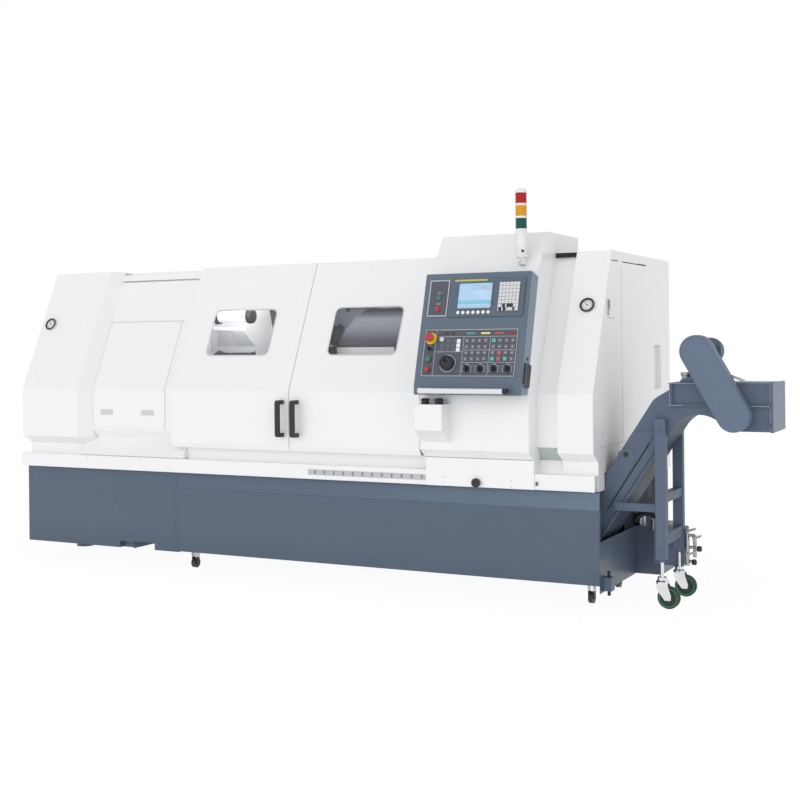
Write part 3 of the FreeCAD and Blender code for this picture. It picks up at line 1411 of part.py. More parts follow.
def make_grab_bar():
    """Aluminium bar held by a dark post at each end of the station's apron."""
    body = new_body("grab_bar")
    left = -panel_right - panel_width + 44
    right = left + bar_length
    height = panel_front_z - panel_apron / 2 - 14
    post = bar_radius * 0.86
    turned(body, "X", bar_y, height,
           [(0.0, 0.0), (0.0, bar_radius - 3), (4.0, bar_radius),
            (bar_length - 4, bar_radius), (bar_length, bar_radius - 3),
            (bar_length, 0.0)], start=left)
    for middle in (left + 22, right - 22):
        prism(body, "Y", bar_y, panel_front_y,
              circles=[(middle, height, post)])


def make_cable_glands():
    """Two glands between the cable duct's top and the station's underside."""
    body = new_body("cable_glands", several=True)
    left = -panel_right - panel_width
    for across in (36.0, 112.0):
        turned(body, "Z", left + across, -cabinet_proud - duct_reach + 52,
               [(0.0, 0.0), (0.0, 21.0), (10.0, 21.0), (10.0, 17.0), (14.0, 17.0),
                (14.0, 22.0), (24.0, 22.0), (29.0, 15.0), (29.0, 0.0)],
               start=duct_top_z)


# -------------------------------------------------------------- chip conveyor

def incline(height, across=0.0):
    """X of the incline's upper edge at a height, moved square to the incline."""
    run = cosine(conveyor_angle) / sine(conveyor_angle)
    return incline_x + (height - incline_z) * run + across / sine(conveyor_angle)


def incline_height(x, across):
    """Height where the line at a depth square to the incline reaches an X."""
    return incline_z + (x - incline_x - across / sine(conveyor_angle)) * slope_of_incline


def trough_outline(inside):
    """Side outline of the trough, moved inwards by the sheet's thickness."""
    flat_top = conveyor_floor_z + conveyor_thick
    deep = conveyor_thick - inside
    peak = arch_peak_z + inside * 1.67
    bend_z = head_top_z - 78
    return [
        (trough_left_x + inside, conveyor_floor_z + inside),
        (incline(conveyor_floor_z + inside, deep), conveyor_floor_z + inside, 120 - inside),
        (incline(peak, deep), peak, arch_radius + inside),
        (head_left + inside * 0.46, head_low_z + inside),
        (head_end - inside, head_low_z + inside),
        (head_end - inside, head_top_z - inside),
        (head_shoulder + inside, head_top_z - inside),
        (head_shoulder + inside, head_top_z - 33 - inside * 0.5),
        (incline(bend_z, inside), bend_z, 90.0),
        (incline(flat_top - inside, inside), flat_top - inside),
        (trough_left_x + inside, flat_top - inside),
    ]


def make_conveyor_trough():
    body = new_body("conveyor_trough")
    wall = conveyor_wall
    near, far = conveyor_near_y, conveyor_far_y
    prism(body, "Y", near, far, [trough_outline(0.0)])
    cut(body, "Y", near + wall, far - wall, [trough_outline(wall)])
    # chip mouth under the head and the open top of the flat stretch
    cut(body, "Z", head_low_z, head_low_z + wall,
        [rectangle(head_left + 30, near + wall, head_end - head_left - 60,
                   conveyor_width - wall * 2)])
    flat_top = conveyor_floor_z + conveyor_thick
    cut(body, "Z", flat_top - wall, flat_top,
        [rectangle(trough_left_x + 40, near + wall, -last_skid - trough_left_x - 50,
                   conveyor_width - wall * 2)])
    # skids that rest on the tank's floor
    skids = (trough_left_x + first_skid, (trough_left_x + first_skid - last_skid) / 2,
             -last_skid)
    prism(body, "Z", tank_clearance + tank_wall + seat_gap, conveyor_floor_z + 1,
          [rectangle(x, near + 10, skid_width, conveyor_width - 20) for x in skids])
    # raised band down the incline and the lip along its lower edge
    low = strut_z + strut_height + 10
    high = incline_height(leg_x - 2, band_depth)
    prism(body, "Y", near - band_rise, near + 1,
          [[(incline(low, 0.0), low), (incline(low, band_depth), low),
            (incline(high, band_depth), high), (incline(high, 0.0), high)]])
    lip = conveyor_thick - 9
    foot = tank_rim_z + 8
    high = incline_height(leg_x - 2, conveyor_thick)
    prism(body, "Y", near - flange_rise, near + 1,
          [[(incline(foot, lip), foot), (incline(foot, conveyor_thick), foot),
            (incline(high, conveyor_thick), high), (incline(high, lip), high)]])
    # flange and rib of the head
    prism(body, "Y", near - flange_rise, near + 1,
          [rectangle(head_shoulder, head_top_z - 110, head_end - head_shoulder - 12, 9.0)])
    prism(body, "Y", near - flange_rise, near + 1,
          [rectangle(head_shoulder + 8, head_top_z - 104, 10.0, 104.0)])
    # end cover over the discharge box
    prism(body, "Y", near - 5, far + 5,
          [rectangle(head_end - 14, head_low_z - 3, end_cover_lap + 14,
                     head_top_z - head_low_z + 6, 5.0)])
    # strut to the legs
    prism(body, "Y", near - 26, near + 1,
          [rectangle(strut_x, strut_z, leg_x - strut_x, strut_height)])


def make_drive_guard():
    body = new_body("drive_guard")
    back = conveyor_near_y - flange_rise - seat_gap
    front = back - guard_depth
    run_x = shaft_x - motor_x
    run_z = motor_z - shaft_z
    length = math.hypot(number(run_x), number(run_z))
    root = f"sqrt({formula(run_x)} * {formula(run_x)} + {formula(run_z)} * {formula(run_z)})"
    span = Size(length, root)
    along_x, along_z = run_x / span, -run_z / span
    across_x, across_z = -along_z, along_x

    def spot(place, side, inside):
        reach = guard_radius - inside
        if place == "top":
            x, z, sign = motor_x, motor_z, -1
        else:
            x, z, sign = shaft_x, shaft_z, 1
        return (x + along_x * reach * sign + across_x * reach * side,
                z + along_z * reach * sign + across_z * reach * side,
                reach - 0.5)

    def shape(inside):
        return [spot("top", -1, inside), spot("bottom", -1, inside),
                spot("bottom", 1, inside), spot("top", 1, inside)]

    prism(body, "Y", front, back, [shape(0.0)])
    cut(body, "Y", front + 3, back, [shape(3.0)])


def make_gearmotor():
    body = new_body("gearmotor")
    near = conveyor_near_y + 6
    turned(body, "Y", motor_x, motor_z,
           [(-42.0, 0.0), (-42.0, 16.0), (0.0, 16.0), (0.0, motor_radius),
            (70.0, motor_radius), (70.0, motor_radius - 8), (84.0, motor_radius - 8),
            (84.0, motor_radius - 2), (motor_length - 34, motor_radius - 2),
            (motor_length - 34, motor_radius + 2), (motor_length - 6, motor_radius + 2),
            (motor_length, motor_radius - 10), (motor_length, 0.0)],
           start=near)
    foot = head_top_z + seat_gap
    prism(body, "Y", near + 2, near + 66,
          [[(motor_x - 92, foot), (motor_x + 70, foot), (motor_x + 70, foot + 14),
            (motor_x + 48, foot + 30), (motor_x + 40, motor_z - 20),
            (motor_x - 40, motor_z - 20), (motor_x - 48, foot + 30),
            (motor_x - 92, foot + 14)]])


def make_conveyor_stand():
    """Two legs with crossbars between them and a foot plate under each leg."""
    body = new_body("conveyor_stand", several=True)
    far_y = conveyor_far_y + seat_gap
    legs = (leg_near_y, far_y)
    for y in legs:
        prism(body, "Z", leg_low_z, leg_top_z,
              [rectangle(leg_x, y, leg_width, leg_depth)])
        prism(body, "Z", leg_low_z - 14, leg_low_z + 1,
              circles=[(swivel_x, y + leg_depth / 2, 13.0)])
    span_from = leg_near_y + leg_depth - 1
    span_to = far_y + 1
    prism(body, "Y", span_from, span_to,
          [rectangle(leg_x + 4, strut_z + 46, leg_width - 8, 42.0),
           rectangle(leg_x + 4, leg_low_z + 66, leg_width - 8, 54.0)])


def make_caster_fork(label, y):
    body = new_body(label)
    crown = caster_wheel_radius * 2 + 12
    half = caster_wheel_width / 2
    axle_x = swivel_x + caster_trail
    turned(body, "Z", swivel_x, y,
           [(0.0, 0.0), (0.0, 30.0), (10.0, 30.0), (16.0, 22.0), (30.0, 22.0),
            (30.0, 9.0), (leg_low_z - 14 - crown - seat_gap, 9.0),
            (leg_low_z - 14 - crown - seat_gap, 0.0)], start=crown)
    for side in (-1, 1):
        near = y + side * (half + 4.5) - 2.5
        prism(body, "Y", near, near + 5,
              [[(swivel_x - 26, crown + 2), (swivel_x - 20, crown - 30),
                (axle_x - 16, caster_wheel_radius - 12), (axle_x + 12, caster_wheel_radius - 12),
                (axle_x + 15, caster_wheel_radius + 10), (swivel_x + 28, crown + 2)]])
    prism(body, "Y", y - half - 3, y + half + 3,
          circles=[(axle_x, caster_wheel_radius, 6.0)])


def make_caster_wheel(label, y):
    body = new_body(label)
    half = caster_wheel_width / 2
    axle_x = swivel_x + caster_trail
    turned(body, "Y", axle_x, caster_wheel_radius,
           [(-half, 6.0 + 0.3), (-half, 18.0), (-half + 4, 22.0),
            (-half + 4, caster_wheel_radius - 14), (-half, caster_wheel_radius - 12),
            (-half, caster_wheel_radius - 3), (-half + 3, caster_wheel_radius),
            (half - 3, caster_wheel_radius), (half, caster_wheel_radius - 3),
            (half, caster_wheel_radius - 12), (half - 4, caster_wheel_radius - 14),
            (half - 4, 22.0), (half, 18.0), (half, 6.0 + 0.3)], start=y)


# ----------------------------------------------------------------- the machine

make_base_casting()
make_levelling_feet()
make_coolant_tank()
make_tank_casters()
make_lower_skirt()
make_left_end_cover()
make_right_end_cover()
make_rear_cover()
make_door_rail()
make_headstock_cover()
make_access_panel()
make_pendant_cabinet()

left_door_left = left_door_x
left_door_right = door_seam_x - door_joint / 2
right_door_left = door_seam_x + door_joint / 2
left_window_x = left_door_left + left_window_inset
right_window_x = right_door_left + right_window_inset
make_door("left_door", left_door_left, left_door_right, left_window_x)
make_door("right_door", right_door_left, right_door_left + right_door_width, right_window_x)
make_pane("left_window_pane", left_window_x)
make_pane("right_window_pane", right_window_x)
make_handle("left_door_handle", left_door_right - left_handle_inset - handle_width)
make_handle("right_door_handle", right_door_left + right_handle_inset)

make_headstock()
make_chuck()
make_chuck_jaws()
make_saddle()
make_turret_slide()
make_turret_disc()
make_tailstock()
make_quill()
make_work_light()
make_air_gauges()
make_skirt_knob()
make_tower_stand()
for name, place in (("tower_green_lens", 0), ("tower_amber_lens", 1), ("tower_red_lens", 2)):
    make_lens(name, place)

make_pendant_body()
make_display_unit()
make_keypad()
make_operator_panel()
make_panel_keys()
make_button("power_on_button", power_on_spot, plate_lift)
make_button("power_off_button", power_off_spot, plate_lift)
make_button("cycle_start_button", start_spot, plate_lift + 4)
make_button("feed_hold_button", hold_spot, plate_lift + 4)
make_emergency_stop()
make_key_switch()
for name, across in rotary_spots.items():
    make_rotary_switch(name, across)
make_handwheel()
make_grab_bar()
make_cable_glands()

make_conveyor_trough()
make_drive_guard()
make_gearmotor()
make_conveyor_stand()
near_caster_y = leg_near_y + leg_depth / 2
far_caster_y = conveyor_far_y + seat_gap + leg_depth / 2
make_caster_fork("near_caster_fork", near_caster_y)
make_caster_fork("far_caster_fork", far_caster_y)
make_caster_wheel("near_caster_wheel", near_caster_y)
make_caster_wheel("far_caster_wheel", far_caster_y)

# ------------------------------------------------------------ checks and files

doc.recompute()
for item in doc.Objects:
    if "Invalid" in item.State or "Error" in item.State:
        raise RuntimeError(f"{item.Label} ({item.Name}) failed: {item.State}")
for feature, base in cuts:
    if feature.Shape.Volume > base.Shape.Volume - SMALL:
        raise RuntimeError(f"{feature.Name} removes nothing")
for body in subparts:
    if body.Shape.isNull() or not body.Shape.isValid():
        raise RuntimeError(f"{body.Label} has no valid shape")
    body.Shape.exportStep(f"parts/{body.Label}.step")

whole = FreeCAD.BoundBox()
for body in subparts:
    whole.add(body.Shape.BoundBox)
print(f"{len(subparts)} sub-parts, {len(cuts)} cuts")
print(f"X {whole.XMin:.1f} {whole.XMax:.1f}  Y {whole.YMin:.1f} {whole.YMax:.1f}  "
      f"Z {whole.ZMin:.1f} {whole.ZMax:.1f}")
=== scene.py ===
"""Looks of the turning lathe: finishes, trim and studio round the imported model."""

import math

import bmesh
import bpy
from mathutils import Matrix, Vector


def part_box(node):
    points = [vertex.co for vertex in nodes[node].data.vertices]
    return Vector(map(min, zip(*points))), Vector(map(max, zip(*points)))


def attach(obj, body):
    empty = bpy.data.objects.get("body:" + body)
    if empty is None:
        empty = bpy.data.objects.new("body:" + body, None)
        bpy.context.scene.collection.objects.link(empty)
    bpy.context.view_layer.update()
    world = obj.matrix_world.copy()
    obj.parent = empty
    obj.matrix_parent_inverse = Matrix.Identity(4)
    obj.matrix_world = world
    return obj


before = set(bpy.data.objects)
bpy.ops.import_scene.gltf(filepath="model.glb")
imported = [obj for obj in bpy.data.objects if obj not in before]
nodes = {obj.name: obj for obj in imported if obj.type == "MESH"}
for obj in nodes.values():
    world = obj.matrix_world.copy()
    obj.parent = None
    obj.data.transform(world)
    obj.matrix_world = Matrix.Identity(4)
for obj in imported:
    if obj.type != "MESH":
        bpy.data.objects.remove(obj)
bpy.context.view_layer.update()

# ------------------------------------------------------------------- finishes


FINE_PEEL = 0.00009
COARSE_PEEL = 0.00016


class Signal:
    """An output in a node tree; arithmetic on it adds Math nodes."""

    def __init__(self, tree, socket):
        self.tree = tree
        self.socket = socket

    def math(self, operation, *values):
        return self.tree.node(
            "ShaderNodeMath", {"operation": operation}, dict(enumerate(values))
        )

    def __add__(self, other):
        return self.math("ADD", self, other)

    __radd__ = __add__

    def __mul__(self, other):
        return self.math("MULTIPLY", self, other)

    __rmul__ = __mul__

    def __sub__(self, other):
        return self.math("SUBTRACT", self, other)

    def __rsub__(self, other):
        return self.math("SUBTRACT", other, self)

    def __truediv__(self, other):
        return self.math("DIVIDE", self, other)

    def __gt__(self, other):
        return self.math("GREATER_THAN", self, other)

    def __lt__(self, other):
        return self.math("LESS_THAN", self, other)

    def larger(self, other):
        return self.math("MAXIMUM", self, other)

    def smaller(self, other):
        return self.math("MINIMUM", self, other)

    def fraction(self):
        return self.math("FRACT", self)

    def size(self):
        return self.math("ABSOLUTE", self)


class Tree:
    """A node tree, built node by node."""

    def __init__(self, tree):
        self.tree = tree
        tree.nodes.clear()

    def node(self, kind, settings=None, inputs=None, output=0):
        """Add a node: its settings first, then its sockets; returns one output."""
        node = self.tree.nodes.new(kind)
        for key, value in (settings or {}).items():
            if key == "stops":
                ramp = node.color_ramp
                while len(ramp.elements) < len(value):
                    ramp.elements.new(1.0)
                for element, (position, colour) in zip(ramp.elements, value):
                    element.position = position
                    element.color = (*colour, 1.0)
            else:
                setattr(node, key, value)
        for key, value in (inputs or {}).items():
            socket = node.inputs[key]
            if isinstance(value, Signal):
                self.tree.links.new(value.socket, socket)
            elif isinstance(value, tuple) and socket.type == "RGBA":
                socket.default_value = (*value, 1.0)
            else:
                socket.default_value = value
        return None if output is None else Signal(self, node.outputs[output])

    def outputs(self, names, kind, inputs=None):
        """Add a node and return several of its outputs."""
        made = self.node(kind, {}, inputs).socket.node
        return [Signal(self, made.outputs[name]) for name in names]


class Finish(Tree):
    """One material of this machine."""

    def __init__(self, name):
        self.material = bpy.data.materials.new(name)
        self.material.use_nodes = True
        super().__init__(self.material.node_tree)
        self.place = self.node("ShaderNodeTexCoord", output="Object")

    def noise(self, scale, detail=2.0, stretch=None):
        place = self.place
        if stretch:
            place = self.node("ShaderNodeMapping", {}, {"Vector": place, "Scale": stretch})
        return self.node(
            "ShaderNodeTexNoise", {}, {"Vector": place, "Scale": scale, "Detail": detail}
        )

    def axes(self):
        """Distances across, to the back and up, in metres."""
        return self.outputs(range(3), "ShaderNodeSeparateXYZ", {"Vector": self.place})

    def mix(self, factor, first, second):
        return self.node(
            "ShaderNodeMix", {"data_type": "RGBA"}, {0: factor, 6: first, 7: second}, 2
        )

    def step(self, value, low, high):
        """A smooth 0 to 1 rise of a value between two limits."""
        return self.node(
            "ShaderNodeMapRange", {"interpolation_type": "SMOOTHSTEP"},
            {"Value": value, "From Min": low, "From Max": high},
        )

    def bump(self, height, depth, strength=1.0):
        return self.node(
            "ShaderNodeBump", {},
            {"Height": height, "Distance": depth, "Strength": strength},
        )

    def peel(self, depth=FINE_PEEL):
        """The orange peel of sprayed enamel."""
        return self.bump(self.noise(420.0, 1.0), depth, 0.5)

    def clouding(self):
        """Slow changes of tone over a large sheet."""
        return self.noise(1.7, 3.0)

    def dust(self, up):
        """1 at the floor, fading out at ankle height."""
        return 1 - self.step(up + self.noise(9.0) * 0.12, 0.1, 0.32)

    def shader(self, colour, roughness, **others):
        inputs = {"Base Color": colour, "Roughness": roughness}
        for key, value in others.items():
            inputs[key.replace("_", " ")] = value
        return self.node("ShaderNodeBsdfPrincipled", {}, inputs)

    def done(self, shader):
        self.node("ShaderNodeOutputMaterial", {}, {"Surface": shader}, None)
        return self.material

    def surface(self, colour, roughness, **others):
        """End the material with one shader."""
        return self.done(self.shader(colour, roughness, **others))


def shade(colour, amount):
    return tuple(min(1.0, channel * amount) for channel in colour)


def enamel(name, colour, gloss=0.34, peel=FINE_PEEL, grime=0.0, cloud=0.03, shine=0.5):
    """Sprayed enamel: orange peel, faint clouding and dust settled low down."""
    finish = Finish(name)
    drift = finish.clouding()
    body = finish.mix(drift, shade(colour, 1 - cloud), shade(colour, 1 + cloud))
    speck = finish.noise(260.0, 2.0)
    if grime:
        body = finish.mix(finish.dust(finish.axes()[2]) * grime, body, shade(colour, 0.62))
    rough = gloss + (drift - 0.5) * 0.1 + (speck - 0.5) * 0.05
    return finish.surface(body, rough, Normal=finish.peel(peel), Coat_Weight=shine * 0.24,
                          Specular_IOR_Level=shine)


def casting(name, colour):
    """Painted casting: a coarse skin under thick paint."""
    finish = Finish(name)
    skin = finish.noise(90.0, 5.0)
    body = finish.mix(skin, shade(colour, 0.88), shade(colour, 1.1))
    normal = finish.bump(skin, 0.0006, 0.6)
    return finish.surface(body, 0.5 + (skin - 0.5) * 0.2, Normal=normal)


def metal(name, colour, rough, stretch=(1.0, 1.0, 1.0), scale=300.0, depth=0.00003):
    """Ground or plated metal with the marks of its grinding."""
    finish = Finish(name)
    marks = finish.noise(scale, 4.0, stretch)
    stain = finish.noise(14.0, 3.0)
    body = finish.mix(marks, shade(colour, 0.82), colour)
    body = finish.mix(finish.step(stain, 0.45, 0.75) * 0.25, body, shade(colour, 0.7))
    normal = finish.bump(marks, depth, 0.5)
    gloss = rough + (marks - 0.5) * 0.14 + (stain - 0.5) * 0.1
    return finish.surface(body, gloss, Metallic=1.0, Normal=normal)


def moulding(name, colour, rough=0.42, grain=900.0):
    """Moulded plastic with a fine grain and rubbed places."""
    finish = Finish(name)
    pit = finish.noise(grain, 1.0)
    rub = finish.noise(22.0, 2.0)
    body = finish.mix(rub, shade(colour, 0.86), shade(colour, 1.14))
    normal = finish.bump(pit, 0.00006, 0.6)
    return finish.surface(body, rough + (rub - 0.5) * 0.15, Normal=normal)


def pane(name):
    """Laminated window: clear, faintly grey, with wiping marks."""
    finish = Finish(name)
    wipe = finish.noise(11.0, 4.0, (0.35, 1.0, 1.6))
    haze = finish.step(wipe, 0.5, 0.85)
    tint = finish.mix(haze, (0.58, 0.6, 0.63), (0.75, 0.77, 0.79))
    return finish.surface(tint, 0.06 + haze * 0.12, Alpha=0.05 + haze * 0.06)


def lens(name, colour):
    """Translucent signal lens with its inner prisms."""
    finish = Finish(name)
    rib = (finish.axes()[2] * 190.0).fraction()
    fold = (rib - 0.5).size() * 2
    body = finish.mix(fold, shade(colour, 0.8), shade(colour, 1.15))
    glow = finish.mix(fold, shade(colour, 0.35), shade(colour, 0.6))
    return finish.surface(body, 0.26 + finish.noise(60.0) * 0.06, Specular_IOR_Level=0.25,
                          Emission_Color=glow, Emission_Strength=0.1,
                          Normal=finish.bump(fold, 0.0004, 0.6))


WHITE = (0.9, 0.9, 0.9)
CONVEYOR_GREY = (0.118, 0.15, 0.21)
STATION_GREY = (0.107, 0.146, 0.2)

white_enamel = enamel("white_enamel", WHITE, 0.36, cloud=0.012)
conveyor_enamel = enamel("conveyor_enamel", CONVEYOR_GREY, 0.45, COARSE_PEEL, grime=0.3, shine=0.1)
guard_enamel = enamel("guard_enamel", (0.146, 0.187, 0.262), 0.45, COARSE_PEEL, grime=0.2,
                      shine=0.1)
display_enamel = enamel("display_enamel", (0.088, 0.12, 0.166), 0.4)
plate_print = enamel("plate_print", (0.073, 0.081, 0.102), 0.45)
grey_casting = casting("grey_casting", (0.3, 0.33, 0.37))
dark_casting = casting("dark_casting", (0.1, 0.11, 0.12))
ground_steel = metal("ground_steel", (0.6, 0.61, 0.63), 0.3, (0.1, 1.0, 1.0))
turned_steel = metal("turned_steel", (0.56, 0.57, 0.59), 0.26, (6.0, 0.4, 0.4), 120.0)
bright_plate = metal("bright_plate", (0.82, 0.83, 0.85), 0.14, scale=120.0)
zinc_plate = metal("zinc_plate", (0.5, 0.51, 0.53), 0.42, scale=160.0)
black_moulding = moulding("black_moulding", (0.018, 0.018, 0.021))
white_moulding = moulding("white_moulding", (0.82, 0.83, 0.84), 0.36)
tread_rubber = moulding("tread_rubber", (0.02, 0.026, 0.022), 0.62, 400.0)
green_gloss = moulding("green_gloss", (0.045, 0.2, 0.15), 0.25)
red_gloss = moulding("red_gloss", (0.42, 0.04, 0.045), 0.28)
window_pane = pane("window_pane")
green_lens = lens("green_lens", (0.006, 0.085, 0.07))
amber_lens = lens("amber_lens", (0.7, 0.31, 0.012))
red_lens = lens("red_lens", (0.42, 0.012, 0.012))


def station_finish():
    """Station enamel, with the side panel painted paler as painted light from the right."""
    finish = Finish("station_enamel")
    side_thickness = 0.0138
    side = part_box("pendant_body")[1].x - side_thickness
    across = finish.axes()[0]
    drift = finish.noise(2.2, 3.0)
    # painted light: the right side panel is painted paler than the face
    tone_with_lit_side = finish.mix(across > side, STATION_GREY, (0.2, 0.255, 0.34))
    body = finish.mix(drift, tone_with_lit_side, finish.mix(0.94, (0.0, 0.0, 0.0), tone_with_lit_side))
    return finish.surface(body, 0.31 + drift * 0.08, Normal=finish.peel(), Coat_Weight=0.1)


def bar_finish():
    """Brushed aluminium bar that ends in a black sleeve."""
    finish = Finish("anodised")
    sleeve_length = 0.021
    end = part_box("grab_bar")[1].x - sleeve_length
    marks = finish.noise(500.0, 4.0, (0.05, 1.0, 1.0))
    sleeve = finish.axes()[0] > end
    body = finish.mix(marks, (0.72, 0.73, 0.76), (0.86, 0.87, 0.9))
    body = finish.mix(sleeve, body, (0.018, 0.018, 0.021))
    return finish.surface(body, 0.28 + marks * 0.14 + sleeve * 0.15, Metallic=1 - sleeve,
                          Normal=finish.bump(marks, 0.00003, 0.5))


def base_finish():
    """Base enamel, dusty near the floor, with painted light and shade about the tank's shoulder.

    Above the shoulder the tank is painted lighter as painted light, more so towards its right end;
    a painted shade line lies in the shoulder's crease beside a dark joint, and a dark jack screw
    stands at the tank's end.
    """
    finish = Finish("base_coat")
    across, back, up = finish.axes()
    low_corner, high_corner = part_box("coolant_tank")
    shoulder, blur, edge_half = high_corner.z - 0.086, 0.006, 0.0035
    bright_length = 2.47
    joint_reach, joint_half = 0.005, 0.0007
    screw_left, screw_right, screw_top = high_corner.x - 0.118, high_corner.x - 0.1, 0.2
    bracket_height, bracket_half = 0.108, 0.0325
    drift = finish.clouding()
    height = up + finish.noise(9.0) * 0.004
    reach = (across - low_corner.x) / bright_length
    above = finish.step(height, shoulder - blur, shoulder + blur)
    tank_side = reach > joint_reach
    # painted light: above the shoulder the tank is painted lighter, more so towards its right end
    lit_upper_tone = finish.mix((reach * reach).smaller(1.0), (0.093, 0.127, 0.19),
                       (0.13, 0.187, 0.252))
    body = finish.mix(above * tank_side, (0.089, 0.121, 0.174), lit_upper_tone)
    # a painted shade line in the shoulder's crease, drawn together with the dark joint at the
    # tank's left end
    edge = ((up - shoulder).size() < edge_half) * tank_side
    joint = (reach - joint_reach).size() < joint_half
    front = back < low_corner.y + 0.045
    body = finish.mix(edge.larger(joint) * front * 0.34, body, (0.05, 0.065, 0.09))
    screw = (across > screw_left) * (across < screw_right) * (back < low_corner.y + 0.08)
    screw = screw * ((up - bracket_height).size() > bracket_half)
    body = finish.mix(finish.dust(up) * 0.35, body, (0.05, 0.068, 0.1))
    body = finish.mix(drift * 0.06, body, (0.04, 0.05, 0.07))
    body = finish.mix(screw * (up < screw_top), body, (0.01, 0.01, 0.012))
    return finish.surface(body, 0.38 + (drift - 0.5) * 0.1, Normal=finish.peel(COARSE_PEEL),
                          Coat_Weight=0.084, Specular_IOR_Level=0.35)


def rear_finish():
    """White enamel with the joints between the doors at the back."""
    finish = Finish("rear_enamel")
    low_corner, high_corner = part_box("rear_cover")
    across, back, up = finish.axes()
    doors, joint_half = 4, 0.0022
    door_low, door_high = low_corner.z + 0.1, high_corner.z - 0.09
    cell = ((across - low_corner.x) * (doors / (high_corner.x - low_corner.x))).fraction()
    between = (cell < 0.003).larger(cell > 0.997)
    level = ((up - door_low).size() < joint_half).larger((up - door_high).size() < joint_half)
    joint = between.larger(level) * (back > high_corner.y - 0.0015)
    body = finish.mix(finish.clouding(), shade(WHITE, 0.988), shade(WHITE, 1.012))
    body = finish.mix(joint, body, (0.32, 0.33, 0.35))
    return finish.surface(body, 0.36 + joint * 0.2, Normal=finish.peel(), Coat_Weight=0.12)


def trough_finish():
    """Conveyor enamel, with painted shade between the sides and a painted highlight on the
    discharge head's end plate.
    """
    finish = Finish("trough_enamel")
    low_corner, high_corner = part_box("conveyor_trough")
    near_side, far_side, end_plate, head_length = 0.029, 0.003, 0.0035, 0.15
    end = high_corner.x - end_plate
    drift = finish.clouding()
    across, back = finish.axes()[:2]
    # painted highlight: the discharge head's end plate is painted paler
    body = finish.mix(across > end, CONVEYOR_GREY, (0.25, 0.29, 0.37))
    # painted shade between the trough's sides, short of the head
    inner = (back > low_corner.y + near_side) * (back < high_corner.y - far_side)
    inner = inner * (across < end - head_length)
    body = finish.mix(inner, body, (0.055, 0.074, 0.105))
    body = finish.mix(drift * 0.12, body, (0.05, 0.06, 0.08))
    return finish.surface(body, 0.42 + drift * 0.08, Normal=finish.peel(COARSE_PEEL),
                          Specular_IOR_Level=0.1)


def lamp_finish():
    """Frosted lamp tube with darker end caps."""
    finish = Finish("lamp_tube")
    low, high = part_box("work_light")
    middle = (low.x + high.x) / 2
    half = (high.x - low.x) / 2
    cap = ((finish.axes()[0] - middle).size() / half) > 0.86
    body = finish.mix(cap, (0.82, 0.84, 0.88), (0.05, 0.055, 0.065))
    frost = finish.noise(500.0, 1.0)
    glow = finish.mix(cap, (0.7, 0.74, 0.8), (0.0, 0.0, 0.0))
    return finish.surface(body, 0.2 + frost * 0.15, Normal=finish.bump(frost, 0.00003, 0.4),
                          Emission_Color=glow, Emission_Strength=0.35)


def caster_finish():
    """Bottom casters: black tread below, plated fork above."""
    finish = Finish("tank_caster")
    grain = finish.noise(300.0, 2.0)
    wheel_top = 0.06
    wheel = finish.axes()[2] < wheel_top
    body = finish.mix(wheel, (0.62, 0.63, 0.65), (0.02, 0.02, 0.022))
    return finish.surface(body, 0.34 + grain * 0.2, Metallic=1 - wheel,
                          Normal=finish.bump(grain, 0.00005, 0.5))


def paint(name, finish):
    """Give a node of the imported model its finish."""
    nodes[name].data.materials.clear()
    nodes[name].data.materials.append(finish)


FINISH_OF = {
    rear_finish(): "rear_cover",
    white_enamel: "lower_skirt left_end_cover right_end_cover headstock_cover "
                  "access_panel pendant_cabinet left_door right_door door_rail",
    base_finish(): "base_casting coolant_tank",
    conveyor_enamel: "conveyor_stand gearmotor",
    guard_enamel: "drive_guard",
    trough_finish(): "conveyor_trough",
    station_finish(): "pendant_body",
    display_enamel: "display_unit",
    plate_print: "operator_panel",
    grey_casting: "headstock tailstock",
    dark_casting: "saddle turret_slide levelling_feet",
    ground_steel: "chuck_jaws turret_disc quill",
    turned_steel: "chuck",
    bright_plate: "air_gauges near_caster_fork far_caster_fork",
    bar_finish(): "grab_bar",
    black_moulding: "left_door_handle right_door_handle skirt_knob cable_glands key_switch "
                    "mode_switch feed_switch rapid_switch speed_switch pulse_handwheel",
    white_moulding: "tower_stand",
    tread_rubber: "near_caster_wheel far_caster_wheel",
    green_gloss: "power_on_button cycle_start_button",
    red_gloss: "power_off_button feed_hold_button emergency_stop",
    window_pane: "left_window_pane right_window_pane",
    green_lens: "tower_green_lens",
    amber_lens: "tower_amber_lens",
    red_lens: "tower_red_lens",
    lamp_finish(): "work_light",
    caster_finish(): "tank_casters",
}
for finish, names in FINISH_OF.items():
    for name in names.split():
        paint(name, finish)

# --------------------------------------------------------------------- places

# the enclosure's right front corner on the floor
CORNER = Vector((1.4105, -0.544092, 0.0))
ACROSS = Vector((1.0, 0.0, 0.0))
BACK = Vector((0.0, 1.0, 0.0))
UP = Vector((0.0, 0.0, 1.0))
# the control station's own axes: its face leans back
TILT = math.radians(16.3)
UP_FACE = Vector((0.0, math.sin(TILT), math.cos(TILT)))
OUT = Vector((0.0, -math.cos(TILT), math.sin(TILT)))
MM = 0.001


def spot(x, y, z):
    """A place in millimetres from the enclosure's right front corner."""
    return CORNER + Vector((x, y, z)) * MM


def turned_to(origin, across, up, out):
    """A place whose own axes point across, up and out."""
    place = Matrix((across, up, out)).transposed().to_4x4()
    place.translation = origin
    return place


STATION = spot(-871.0, -199.82, 1087.51)


def on_station(across, up, lift=0.0):
    """A place on the control station's face, in millimetres."""
    origin = STATION + (ACROSS * across + UP_FACE * up + OUT * lift) * MM
    return turned_to(origin, ACROSS, UP_FACE, OUT)


